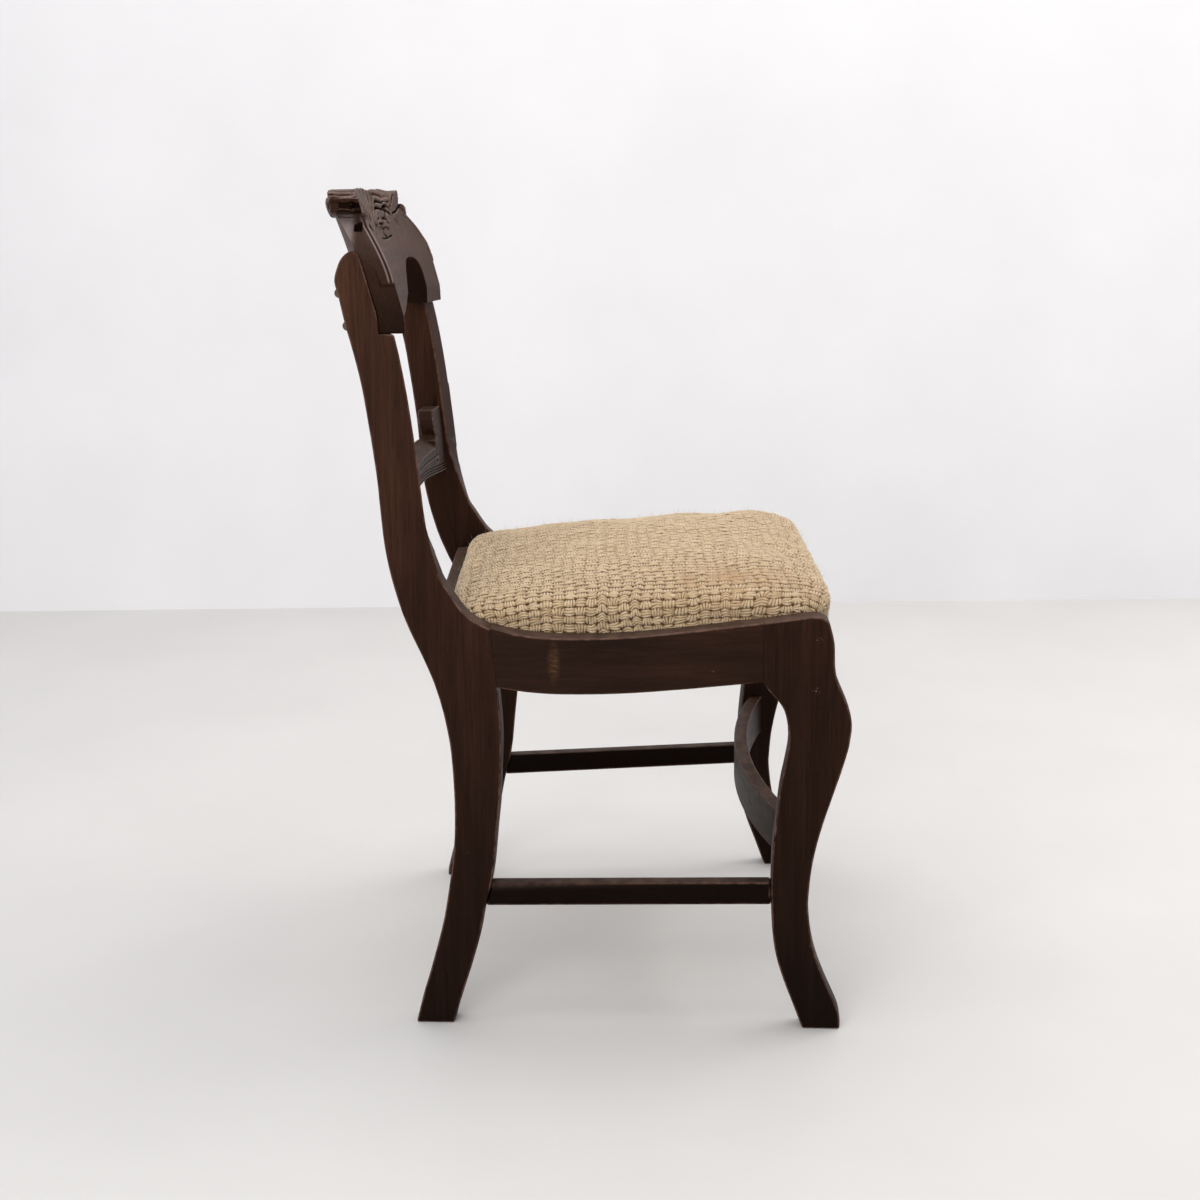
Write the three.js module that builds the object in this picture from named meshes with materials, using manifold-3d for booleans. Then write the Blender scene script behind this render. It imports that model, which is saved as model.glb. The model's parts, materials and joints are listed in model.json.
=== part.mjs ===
// A carved side chair: two flat-sawn side frames, a bowed crest rail, a shaped mid rail and a drop-in seat.
// Millimetres, Z up. The chair faces -Y, X is across it, and it stands on Z = 0.

import * as THREE from 'three';
import { mergeVertices } from 'three/addons/utils/BufferGeometryUtils.js';
import Module from 'manifold-3d';

const wasm = await Module();
wasm.setup();

// Fits
const fit_gap = 0.3;
const cut_overrun = 6;
const merge_distance = 0.0001;
const lathe_merge_distance = 0.001;
const seat_side_gap = 1.2;

// Side frames: every board in a frame is cut from stock of one thickness.
const board_thickness = 24;
const front_half_width = 235;
const frame_toe_in = THREE.MathUtils.degToRad(3.43);
const rear_joint_forward = -279;
const side_rail_length = 269;
const front_joint_forward = rear_joint_forward + side_rail_length;
const rear_joint_lean = 5.5;
const rail_top_rear_height = 422.5;
const rail_rise = 7;
const rail_top_front_height = rail_top_rear_height + rail_rise;
const side_rail_depth = 60.5;
const rail_bottom_rear_height = rail_top_rear_height - side_rail_depth;
const rail_bottom_front_height = rail_top_front_height - side_rail_depth;
const rail_top_sag = 12;
const rail_bottom_sag = 9;

// Posts: the back stile and the rear leg are one sabre-shaped board.
const stile_sweep = 139.2;
const rear_leg_sweep = 86.5;
const stile_cant = 9.5;
const stile_above_crest_seat = 78;

// Front legs
const front_leg_rise = 6;
const front_leg_height = rail_top_front_height + front_leg_rise;
const front_leg_reach = 87.3;

// Crest rail: a thick board, hollow towards the sitter, leaning back and curling at its top.
const crest_bow = 34;
const crest_thickness = 24.3;
const back_height = 419.5;
const crest_height = 142;
const crest_tab_rise = 11;
const crest_top_height = rail_top_rear_height + back_height;
const crest_base_height = crest_top_height - crest_height;
const crest_seat_height = crest_base_height + crest_tab_rise;
const crest_setback = 72;
const crest_end_forward = rear_joint_forward - crest_setback;
const crest_end_inset = 1.9;
const crest_rake_share = 0.25;
const crest_rake_start_share = 0.18;
const crest_curl_start_share = 0.352;
const crest_curl = 7.4;
const crest_wing_step = 2.6;
const crest_arc_segments = 20;
const crest_lean_steps = 9;
const crest_wing_depth_share = 0.55;
const post_height = crest_seat_height + stile_above_crest_seat;
const open_back_height = crest_base_height - rail_top_rear_height;

// Mid rail: its place and depth follow the open height between seat and crest.
const mid_rail_thickness = 17;
const mid_rail_bow = 12;
const mid_rail_setback = 71;
const mid_rail_place_share = 0.33;
const mid_rail_height_share = 0.27;
const mid_rail_bottom_height = rail_top_rear_height + mid_rail_place_share * open_back_height;
const mid_rail_height = mid_rail_height_share * open_back_height;
const mid_rail_end_forward = rear_joint_forward - mid_rail_setback;
const mid_rail_rake_share = 0.083;
const mid_bevel_rise = 12;
const mid_bevel_reach_share = 0.77;
const mid_bevel_ridge_share = 0.46;
const mid_bevel_ridge_drop = 2.5;
const mid_dowel_low_share = 0.3;
const mid_dowel_high_share = 0.74;
const stile_cant_start_share = 0.2;
const stile_cant_full_share = 0.495;
const stile_cant_start_height = rail_top_rear_height + stile_cant_start_share * open_back_height;
const stile_cant_full_height = rail_top_rear_height + stile_cant_full_share * open_back_height;

// Slip seat
const seat_deck_drop = 22.5;
const seat_deck_height = rail_top_rear_height - seat_deck_drop;
const seat_front_overhang = 16;
const seat_rear_gap = 1.5;
const seat_corner_radius = 34;
const seat_least_radius = 3;
const board_ply_thickness = 12;
const cover_thickness = 2.4;
const cover_hem_width = 26;
const seat_edge_height = 40;
const seat_crown_height = 67;
const seat_edge_draw = 3;
const seat_edge_tilt = 4;
const seat_crown_tilt = 9;
const cover_waist_share = 0.35;
const filling_waist_share = 0.4;

// Cross rails
const front_rail_thickness = 22;
const front_rail_reach = 54;
const front_rail_forward = front_joint_forward + front_rail_reach;
const front_rail_depth = 48;
const front_rail_top_height = seat_deck_height;
const front_rail_bottom_height = front_rail_top_height - front_rail_depth;
const rear_rail_thickness = 16;
const rear_rail_setback = 44.5;
const rear_rail_forward = rear_joint_forward - rear_rail_setback;
const rear_rail_depth = 43;
const rear_rail_drop = 3.5;
const rear_rail_top_height = rail_top_rear_height - rear_rail_drop;
const rear_rail_bottom_height = rear_rail_top_height - rear_rail_depth;
const seat_front_forward = front_rail_forward + seat_front_overhang;
const seat_rear_forward = rear_rail_forward + seat_rear_gap;

// Side stretchers
const stretcher_thickness = 16;
const stretcher_height = 24.5;
const stretcher_inset = 4;
const stretcher_rear_height = 129;
const stretcher_rise = 5;
const stretcher_front_height = stretcher_rear_height + stretcher_rise;
const stretcher_end_setback = 10;
const stretcher_rear_forward = rear_joint_forward - stretcher_end_setback;
const stretcher_front_forward = front_joint_forward + stretcher_end_setback;
const stretcher_tenon_length = 12;
const tenon_shoulder = 3;

// Front stretcher: a board sawn to a hollow curve between the front legs.
const bow_stretcher_thickness = 15;
const bow_stretcher_height = 45;
const bow_stretcher_bottom_height = 177;
const bow_stretcher_depth = 33;
const bow_stretcher_reach = 39;
const bow_stretcher_end_forward = front_joint_forward + bow_stretcher_reach;
const bow_tenon_length = 12;

// Corner blocks
const corner_block_leg = 70;
const corner_block_height = 30;
const corner_block_tip = 12;

// Fastenings
const dowel_radius = 4.75;
const dowel_length = 48;
const dowel_end_clearance = 1.5;
const dowel_chamfer = 1.2;
const rail_dowel_inset = 14;
const screw_radius = 2.1;
const screw_head_radius = 4.6;
const screw_head_height = 2.8;
const screw_crown_share = 0.55;
const screw_dome_share = 0.9;
const screw_shank_share = 0.8;
const screw_pocket_clearance = 0.45;
const seat_screw_length = 39;
const seat_screw_side_inset = 31;
const seat_screw_front_inset = 31;
const seat_screw_rear_inset = 40;
const crest_screw_length = 34;
const crest_screw_low_rise = 7;
const crest_screw_high_rise = 38;
const block_screw_length = 38;
const block_screw_run_share = 0.74;
const block_screw_low_share = 0.32;
const block_screw_high_share = 0.72;

// Outlines as shares of the sizes above: [how far back or forward, how far up].
const stile_front_shares = [
  [0.107, 0.020], [0.182, 0.045], [0.232, 0.071], [0.291, 0.107], [0.342, 0.140], [0.389, 0.205],
  [0.413, 0.249], [0.435, 0.314], [0.450, 0.378], [0.496, 0.548], [0.542, 0.674], [0.593, 0.777],
  [0.682, 0.921], [0.735, 1.0],
];
const stile_crown_shares = [[0.86, 1.0], [0.905, 0.995], [0.948, 0.980], [0.980, 0.955]];
const stile_back_shares = [
  [1.0, 0.922], [0.975, 0.881], [0.940, 0.814], [0.889, 0.736], [0.843, 0.653], [0.811, 0.569],
  [0.783, 0.485], [0.759, 0.399], [0.745, 0.314], [0.726, 0.227], [0.687, 0.140], [0.621, 0.046],
];
const rear_leg_back_shares = [
  [0.892, 0.982], [0.768, 0.925], [0.657, 0.866], [0.576, 0.807], [0.520, 0.748], [0.484, 0.689],
  [0.465, 0.599], [0.469, 0.508], [0.503, 0.426], [0.583, 0.323], [0.644, 0.261], [0.726, 0.198],
  [0.816, 0.134], [0.912, 0.070], [1.0, 0.0],
];
const rear_leg_front_shares = [
  [0.543, 0.0], [0.490, 0.047], [0.390, 0.121], [0.291, 0.196], [0.207, 0.270], [0.140, 0.350],
  [0.062, 0.421], [0.020, 0.479], [0.0, 0.523], [-0.032, 0.594], [-0.066, 0.665], [-0.082, 0.735],
  [-0.096, 0.794], [-0.104, 0.851], [-0.101, 0.909], [-0.085, 0.961],
];
const front_leg_top_shares = [
  [0.167, 0.991], [0.387, 0.997], [0.530, 1.0], [0.638, 0.999], [0.712, 0.989], [0.752, 0.970],
];
const front_leg_front_shares = [
  [0.788, 0.938], [0.794, 0.910], [0.801, 0.882], [0.825, 0.855], [0.880, 0.827], [0.939, 0.799],
  [0.984, 0.771], [1.0, 0.742], [0.986, 0.714], [0.962, 0.686], [0.881, 0.628], [0.789, 0.570],
  [0.700, 0.512], [0.624, 0.453], [0.571, 0.394], [0.546, 0.335], [0.543, 0.305], [0.574, 0.245],
  [0.637, 0.185], [0.745, 0.125], [0.877, 0.064], [0.927, 0.034], [0.932, 0.0],
];
const front_leg_back_shares = [
  [0.492, 0.0], [0.379, 0.074], [0.265, 0.146], [0.178, 0.217], [0.133, 0.288], [0.114, 0.394],
  [0.110, 0.447], [0.125, 0.533], [0.154, 0.603], [0.200, 0.706], [0.254, 0.774], [0.293, 0.841],
  [0.256, 0.908], [0.194, 0.940], [0.126, 0.959], [0.057, 0.978],
];
const rail_sag_shares = [
  [0.0, 0.0], [0.08, 0.45], [0.2, 0.86], [0.36, 1.0], [0.52, 0.93], [0.68, 0.68], [0.84, 0.36], [1.0, 0.0],
];

const crest_lobe_shares = [
  [0.0, 0.0], [0.165, 0.004], [0.292, 0.018], [0.377, 0.063], [0.467, 0.218], [0.575, 0.419],
  [0.670, 0.454], [0.745, 0.430], [0.788, 0.366], [0.797, 0.261], [0.783, 0.077],
];
const crest_shoulder_shares = [
  [1.0, 0.401], [0.986, 0.535], [0.948, 0.620], [0.906, 0.690], [0.849, 0.760], [0.800, 0.812],
  [0.765, 0.848],
];
const crest_ear_shares = [[0.765, 0.848], [0.788, 0.868], [0.820, 0.915], [0.842, 0.958]];
const crest_crown_shares = [
  [0.842, 0.958], [0.793, 0.955], [0.735, 0.938], [0.660, 0.908], [0.575, 0.894], [0.480, 0.906],
  [0.390, 0.940], [0.300, 0.966], [0.200, 0.988], [0.094, 1.0], [0.0, 1.0],
];
// The leaf that rolls over each ear, in section: [behind the rail's back face, up].
const ear_leaf_section_shares = [
  [-0.70, 0.935], [-0.40, 0.964], [-0.12, 0.972], [0.08, 0.958], [0.21, 0.920], [0.25, 0.868], [0.20, 0.828],
  [0.12, 0.852], [0.02, 0.878], [-0.20, 0.890], [-0.45, 0.886], [-0.70, 0.874],
];
const ear_leaf_inner_share = 0.67;
const ear_leaf_outer_share = 0.835;
const ear_leaf_steps = 3;

const mid_bottom_shares = [[0.0, 0.160], [0.317, 0.135], [0.635, 0.065], [0.84, 0.018], [1.0, 0.0]];
const mid_top_shares = [
  [1.0, 1.0], [0.794, 1.0], [0.784, 0.960], [0.768, 0.853], [0.778, 0.720], [0.804, 0.613], [0.788, 0.540],
  [0.755, 0.560], [0.700, 0.680], [0.529, 0.720], [0.265, 0.740], [0.0, 0.750],
];

const spline_density = 3;
const small_arc_segments = 14;
const bow_arc_segments = 22;
const rod_sides = 12;
const screw_sides = 10;
const cant_levels = 12;
const seat_corner_points = 6;

// Finishes
const walnut_stain = { color: 0x4a2e24, roughness: 0.42, metalness: 0.0 };
const inner_wood = { color: 0x8a6a4a, roughness: 0.7, metalness: 0.0 };
const ply_wood = { color: 0xb08d5f, roughness: 0.75, metalness: 0.0 };
const wool_cover = { color: 0xcdb88f, roughness: 0.95, metalness: 0.0 };
const cotton_filling = { color: 0xe8e0cc, roughness: 0.95, metalness: 0.0 };
const steel = { color: 0x8d8f92, roughness: 0.4, metalness: 0.9 };
const aged_steel = { color: 0x4c4743, roughness: 0.55, metalness: 0.8 };

// Geometry helpers

function to_solid(geometry) {
  const bare = geometry.clone();
  for (const name of Object.keys(bare.attributes)) {
    if (name !== 'position') bare.deleteAttribute(name);
  }
  const merged = mergeVertices(bare, merge_distance);
  const vertProperties = new Float32Array(merged.attributes.position.array);
  const triVerts = new Uint32Array(merged.index.array);
  return new wasm.Manifold(new wasm.Mesh({ numProp: 3, vertProperties, triVerts }));
}

function to_geometry(solid) {
  const mesh = solid.getMesh();
  const geometry = new THREE.BufferGeometry();
  geometry.setAttribute('position', new THREE.BufferAttribute(new Float32Array(mesh.vertProperties), 3));
  geometry.setIndex(new THREE.BufferAttribute(new Uint32Array(mesh.triVerts), 1));
  geometry.computeVertexNormals();
  return geometry;
}

function cut(geometry, cutters) {
  let body = to_solid(geometry);
  for (const cutter of cutters) body = body.subtract(to_solid(cutter));
  return to_geometry(body);
}

function common(geometry, other) {
  return to_geometry(to_solid(geometry).intersect(to_solid(other)));
}

function joined(parts) {
  let body = to_solid(parts[0]);
  for (const part of parts.slice(1)) body = body.add(to_solid(part));
  return to_geometry(body);
}

function bare_copy(geometry) {
  const copy = geometry.index ? geometry.toNonIndexed() : geometry.clone();
  for (const name of Object.keys(copy.attributes)) {
    if (name !== 'position') copy.deleteAttribute(name);
  }
  return copy;
}

function mirrored(geometry) {
  const copy = bare_copy(geometry);
  const positions = copy.attributes.position;
  for (let i = 0; i < positions.count; i += 3) {
    const corners = [0, 2, 1].map((k) => [
      -positions.getX(i + k), positions.getY(i + k), positions.getZ(i + k),
    ]);
    corners.forEach((corner, k) => positions.setXYZ(i + k, ...corner));
  }
  copy.computeVertexNormals();
  return copy;
}

function spline_points(points) {
  const curve = new THREE.SplineCurve(points.map(([a, b]) => new THREE.Vector2(a, b)));
  return curve.getPoints((points.length - 1) * spline_density).map((p) => [p.x, p.y]);
}

function moved_points(points) {
  const kept = [];
  for (const point of points) {
    const last = kept[kept.length - 1];
    const near = last && Math.hypot(point[0] - last[0], point[1] - last[1]) < fit_gap;
    if (!near) kept.push(point);
  }
  return kept;
}

// A board sawn to a side-view outline of [forward, height] points. Its outer face lies on x = 0.
function side_board(outline, thickness, inset = 0) {
  const corners = moved_points(outline).map(([forward, height]) => new THREE.Vector2(forward, height));
  const shape = new THREE.Shape(corners);
  const geometry = new THREE.ExtrudeGeometry(shape, { depth: thickness, bevelEnabled: false, steps: 1 });
  const forward_to_front = new THREE.Matrix4().set(
    0, 0, 1, inset,
    -1, 0, 0, 0,
    0, 1, 0, 0,
    0, 0, 0, 1,
  );
  geometry.applyMatrix4(forward_to_front);
  return outward(geometry);
}

// Turns the faces of a closed geometry outwards if they point inwards.
function outward(geometry) {
  const copy = bare_copy(geometry);
  const p = copy.attributes.position;
  const [a, b, c] = [new THREE.Vector3(), new THREE.Vector3(), new THREE.Vector3()];
  let volume = 0;
  for (let i = 0; i < p.count; i += 3) {
    a.fromBufferAttribute(p, i);
    b.fromBufferAttribute(p, i + 1);
    c.fromBufferAttribute(p, i + 2);
    volume += a.dot(b.cross(c));
  }
  if (volume > 0) return copy;
  for (let i = 0; i < p.count; i += 3) {
    b.fromBufferAttribute(p, i + 1);
    c.fromBufferAttribute(p, i + 2);
    p.setXYZ(i + 1, c.x, c.y, c.z);
    p.setXYZ(i + 2, b.x, b.y, b.z);
  }
  return copy;
}

// A plan outline of [x, forward] points raised from a low height to a high one.
function plan_block(outline, low, high, steps = 1) {
  const shape = new THREE.Shape(outline.map(([x, forward]) => new THREE.Vector2(x, -forward)));
  const geometry = new THREE.ExtrudeGeometry(shape, { depth: high - low, bevelEnabled: false, steps });
  geometry.translate(0, 0, low);
  return outward(geometry);
}

// A front-view outline of [x, height] points, solid from one forward place to another.
function front_block(outline, rear, front) {
  const shape = new THREE.Shape(moved_points(outline).map(([x, height]) => new THREE.Vector2(x, height)));
  const geometry = new THREE.ExtrudeGeometry(shape, { depth: front - rear, bevelEnabled: false });
  const standing = new THREE.Matrix4().set(
    1, 0, 0, 0,
    0, 0, -1, -rear,
    0, 1, 0, 0,
    0, 0, 0, 1,
  );
  geometry.applyMatrix4(standing);
  return outward(geometry);
}

// A round rod between two points, with an optional chamfer at both ends.
function rod(start, end, radius, chamfer = 0, sides = rod_sides) {
  const from = new THREE.Vector3(...start);
  const to = new THREE.Vector3(...end);
  const length = from.distanceTo(to);
  const profile = chamfer > 0
    ? [
      [0, 0], [radius - chamfer, 0], [radius, chamfer],
      [radius, length - chamfer], [radius - chamfer, length], [0, length],
    ]
    : [[0, 0], [radius, 0], [radius, length], [0, length]];
  return turned(profile, from, to.clone().sub(from), sides);
}

// A profile of [radius, distance] points turned about an axis that starts at a point.
function turned(profile, start, direction, sides = rod_sides) {
  const geometry = new THREE.LatheGeometry(profile.map(([r, d]) => new THREE.Vector2(r, d)), sides);
  const unit = direction.clone().normalize();
  const turn = new THREE.Quaternion().setFromUnitVectors(new THREE.Vector3(0, 1, 0), unit);
  geometry.applyQuaternion(turn);
  geometry.translate(start.x, start.y, start.z);
  return outward(to_geometry(to_solid_lathe(geometry)));
}

// A lathe turned about its axis repeats its seam and its poles, which are merged here.
function to_solid_lathe(geometry) {
  const bare = bare_copy(geometry);
  const merged = mergeVertices(bare, lathe_merge_distance);
  const index = [];
  for (let i = 0; i < merged.index.count; i += 3) {
    const [a, b, c] = [0, 1, 2].map((k) => merged.index.getX(i + k));
    if (a !== b && b !== c && a !== c) index.push(a, b, c);
  }
  const closed = new THREE.BufferGeometry();
  closed.setAttribute('position', merged.attributes.position);
  closed.setIndex(index);
  const ready = outward(closed);
  return to_solid(ready);
}

const screw_profile = (length) => [
  [0, -screw_head_height], [screw_head_radius * screw_crown_share, -screw_head_height],
  [screw_head_radius * screw_dome_share, -screw_head_height * screw_crown_share],
  [screw_head_radius, 0], [screw_radius, 0], [screw_radius, length * screw_shank_share], [0, length],
];

const screw_hole_radius = screw_radius + fit_gap;
const dowel_hole_radius = dowel_radius + fit_gap;

function screw(start, direction, length) {
  return turned(
    screw_profile(length), new THREE.Vector3(...start), new THREE.Vector3(...direction), screw_sides,
  );
}

function screw_hole(start, direction, length) {
  const unit = new THREE.Vector3(...direction).normalize();
  const from = new THREE.Vector3(...start).addScaledVector(unit, -cut_overrun);
  const to = new THREE.Vector3(...start).addScaledVector(unit, length + fit_gap);
  return rod(from.toArray(), to.toArray(), screw_hole_radius, 0, screw_sides);
}

function box_between(low, high) {
  const geometry = new THREE.BoxGeometry(high[0] - low[0], high[1] - low[1], high[2] - low[2]);
  geometry.translate((low[0] + high[0]) / 2, (low[1] + high[1]) / 2, (low[2] + high[2]) / 2);
  return bare_copy(geometry);
}

function mesh(name, geometry, finish) {
  const material = new THREE.MeshStandardMaterial(finish);
  const piece = new THREE.Mesh(geometry, material);
  piece.name = name;
  return piece;
}

// Side frames

const toe_slope = Math.tan(frame_toe_in);
const crest_half_width = front_half_width + crest_end_forward * toe_slope - crest_end_inset;
const side_names = [['right', -1], ['left', 1]];

function side_frame_matrix(side) {
  return new THREE.Matrix4()
    .makeRotationZ(side * frame_toe_in)
    .setPosition(side * front_half_width, 0, 0);
}

const right_frame = side_frame_matrix(-1);
const right_frame_inverse = right_frame.clone().invert();

// Brings a geometry that is drawn in the chair's frame into the right-hand side frame's own.
function in_side_frame(geometry) {
  return bare_copy(geometry).applyMatrix4(right_frame_inverse);
}

// Half the clear width between the side frames at a forward place.
function inner_half_width(forward) {
  return front_half_width + forward * toe_slope - board_thickness / Math.cos(frame_toe_in);
}

function rail_top_height(share) {
  return rail_top_rear_height + share * (rail_top_front_height - rail_top_rear_height);
}

function rail_outline(gap) {
  const rear_top = rear_joint_forward + gap;
  const rear_bottom = rear_joint_forward + rear_joint_lean + gap;
  const front = front_joint_forward - gap;
  const top = rail_sag_shares.map(([along, sag]) => [
    rear_top + along * (front - rear_top), rail_top_height(along) - sag * rail_top_sag,
  ]);
  const bottom_rise = rail_bottom_front_height - rail_bottom_rear_height;
  const bottom = rail_sag_shares.map(([along, sag]) => [
    rear_bottom + along * (front - rear_bottom),
    rail_bottom_rear_height + along * bottom_rise - sag * rail_bottom_sag,
  ]);
  return [...spline_points(bottom), ...spline_points(top).reverse()];
}

function stile_point([back, up]) {
  const stile_height = post_height - rail_top_rear_height;
  return [rear_joint_forward - back * stile_sweep, rail_top_rear_height + up * stile_height];
}

function rear_leg_point([back, up]) {
  return [rear_joint_forward - back * rear_leg_sweep, up * rail_top_rear_height];
}

function post_outline() {
  const joint_top = [rear_joint_forward, rail_top_rear_height];
  const joint_bottom = [rear_joint_forward + rear_joint_lean, rail_bottom_rear_height];
  const stile_front = spline_points([joint_top, ...stile_front_shares.map(stile_point)]);
  const crown_and_back = spline_points([
    ...stile_crown_shares.map(stile_point),
    ...stile_back_shares.map(stile_point),
    ...rear_leg_back_shares.map(rear_leg_point),
  ]);
  const leg_front = spline_points(rear_leg_front_shares.map(([back, up]) => (
    [rear_joint_forward - back * rear_leg_sweep, up * rail_bottom_rear_height]
  )));
  return [joint_bottom, ...stile_front, ...crown_and_back, ...leg_front];
}

function front_leg_point([forward, up]) {
  return [front_joint_forward + forward * front_leg_reach, up * front_leg_height];
}

function front_leg_outline() {
  const joint_top = [front_joint_forward, rail_top_front_height];
  const joint_bottom = [front_joint_forward, rail_bottom_front_height];
  const face = spline_points([joint_top, ...front_leg_top_shares.map(front_leg_point),
    ...front_leg_front_shares.map(front_leg_point)]);
  const back = spline_points([...front_leg_back_shares.map(([forward, up]) => (
    [front_joint_forward + forward * front_leg_reach, up * rail_bottom_front_height]
  )), joint_bottom]);
  return [...face, ...back];
}

// Crest rail

const crest_inner_radius = (crest_half_width ** 2 + crest_bow ** 2) / (2 * crest_bow);

// A curved slab in plan, hollow towards the front, between two radii about one centre.
function curved_slab(inner_radius, outer_radius, centre_forward, half_width, low, high, segments, steps) {
  const reach = half_width + cut_overrun;
  const outline = [];
  for (const radius of [inner_radius, outer_radius]) {
    const sweep = Math.asin(reach / radius);
    const row = [];
    for (let i = 0; i <= segments; i += 1) {
      const angle = -sweep + (2 * sweep * i) / segments;
      row.push([radius * Math.sin(angle), centre_forward - radius * Math.cos(angle)]);
    }
    outline.push(...(radius === inner_radius ? row : row.reverse()));
  }
  return plan_block(outline, low, high, steps);
}

// Leans a geometry back with its height.
function leaned(geometry, lean) {
  const copy = bare_copy(geometry);
  const p = copy.attributes.position;
  for (let i = 0; i < p.count; i += 1) p.setY(i, p.getY(i) + lean(p.getZ(i)));
  return copy;
}

function crest_lean(height) {
  const up = (height - crest_base_height) / crest_height;
  const above = Math.max(0, up - crest_curl_start_share) / (1 - crest_curl_start_share);
  const raked = Math.max(0, height - crest_base_height - crest_rake_start_share * crest_height);
  return crest_rake_share * raked + crest_curl * above * above;
}

const crest_arc_centre = crest_end_forward - crest_bow + crest_inner_radius;

function crest_slab(front_allowance, back_allowance, thickness = crest_thickness) {
  const slab = curved_slab(
    crest_inner_radius - front_allowance, crest_inner_radius + thickness + back_allowance,
    crest_arc_centre, crest_half_width + cut_overrun, crest_base_height - cut_overrun,
    crest_top_height + cut_overrun, crest_arc_segments, crest_lean_steps,
  );
  return leaned(slab, crest_lean);
}

function crest_point([across, up]) {
  return [across * crest_half_width, crest_base_height + up * (crest_top_height - crest_base_height)];
}

// The rail's outline from the front. The wings stand proud of the tabs by the step asked for.
function crest_outline(wing_step) {
  const tab_edge = crest_half_width - crest_wing_step;
  const tab_height = crest_point(crest_shoulder_shares[0])[1];
  const lobe = spline_points(crest_lobe_shares.map(crest_point));
  const last_share = crest_lobe_shares[crest_lobe_shares.length - 1];
  lobe[lobe.length - 1] = [crest_point(last_share)[0], crest_seat_height];
  const tab = [[tab_edge, crest_seat_height]];
  if (wing_step > 0) tab.push([tab_edge, tab_height - crest_wing_step / 2]);
  const shoulder = spline_points(crest_shoulder_shares.map(crest_point))
    .map(([x, height]) => [Math.min(x, tab_edge + wing_step), height]);
  const half = [
    ...lobe, ...tab,
    ...shoulder,
    ...spline_points(crest_ear_shares.map(crest_point)),
    ...spline_points(crest_crown_shares.map(crest_point)),
  ];
  const other = half.slice(1, -1).reverse().map(([x, height]) => [-x, height]);
  return [...half, ...other];
}

function crest_rail() {
  const front = crest_end_forward + crest_bow;
  const rear = crest_end_forward - crest_bow - crest_thickness - crest_lean(crest_top_height) - cut_overrun;
  const body = common(front_block(crest_outline(0), rear, front), crest_slab(0, 0));
  const wings = common(
    front_block(crest_outline(crest_wing_step), rear, front),
    crest_slab(0, 0, crest_thickness * crest_wing_depth_share),
  );
  return joined([body, wings, ear_leaf(), mirrored(ear_leaf())]);
}

// A leaf that lies over one ear and hangs down behind it.
function ear_leaf() {
  const section = spline_points(ear_leaf_section_shares.map(([behind, up]) => [
    behind * crest_thickness, crest_point([0, up])[1],
  ]));
  const [inner, outer] = [ear_leaf_inner_share * crest_half_width, ear_leaf_outer_share * crest_half_width];
  const rings = [];
  for (let i = 0; i <= ear_leaf_steps; i += 1) {
    const x = inner + ((outer - inner) * i) / ear_leaf_steps;
    const back = crest_arc_centre - Math.sqrt((crest_inner_radius + crest_thickness) ** 2 - x * x);
    rings.push(section.map(([behind, height]) => [x, back - crest_lean(height) - behind, height]));
  }
  return end_capped(rings);
}

// What a post loses to seat the crest rail: everything in front of the rail's back, above its shoulder.
function crest_seat_cutter() {
  const reach = crest_half_width + cut_overrun;
  const back_face = crest_arc_centre - crest_inner_radius - crest_thickness;
  const rear = back_face - crest_lean(crest_top_height) - crest_bow;
  const front = crest_end_forward + crest_bow;
  const above = plan_block(
    [[-reach, rear], [reach, rear], [reach, front], [-reach, front]],
    crest_seat_height - fit_gap, crest_top_height + cut_overrun,
  );
  return common(crest_slab(crest_bow, fit_gap), above);
}

// The upper stile's front face turns inwards, in line with the hollow of the crest and mid rails.
function stile_cant_cutter() {
  const levels = cant_levels;
  const low = stile_cant_start_height;
  const front_edge = spline_points([
    [rear_joint_forward, rail_top_rear_height], ...stile_front_shares.map(stile_point),
  ]);
  const forward_at = (height) => {
    for (let i = 1; i < front_edge.length; i += 1) {
      const [from, to] = [front_edge[i - 1], front_edge[i]];
      if (height <= to[1]) return from[0] + ((height - from[1]) / (to[1] - from[1])) * (to[0] - from[0]);
    }
    return front_edge[front_edge.length - 1][0];
  };
  const rings = [];
  for (let i = 0; i <= levels; i += 1) {
    const height = low + ((crest_seat_height - low) * i) / levels;
    const fade = Math.min(1, (height - low) / (stile_cant_full_height - low));
    const depth = stile_cant * fade * fade * (3 - 2 * fade);
    const edge = forward_at(height);
    const past = board_thickness + cut_overrun;
    rings.push([
      [0, edge, height],
      [past, edge - (depth * past) / board_thickness, height],
      [past, edge + board_thickness, height],
      [0, edge + board_thickness, height],
    ]);
  }
  return lofted(rings);
}

// A closed solid through rings of equal point counts, each point as [x, forward, height].
function lofted(rings) {
  const positions = [];
  const index = [];
  const count = rings[0].length;
  for (const ring of rings) for (const [x, forward, height] of ring) positions.push(x, -forward, height);
  index.push(...band_triangles(rings.length, count));
  const last = (rings.length - 1) * count;
  for (let k = 1; k + 1 < count; k += 1) {
    index.push(0, k + 1, k);
    index.push(last, last + k, last + k + 1);
  }
  return indexed(positions, index);
}

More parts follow.
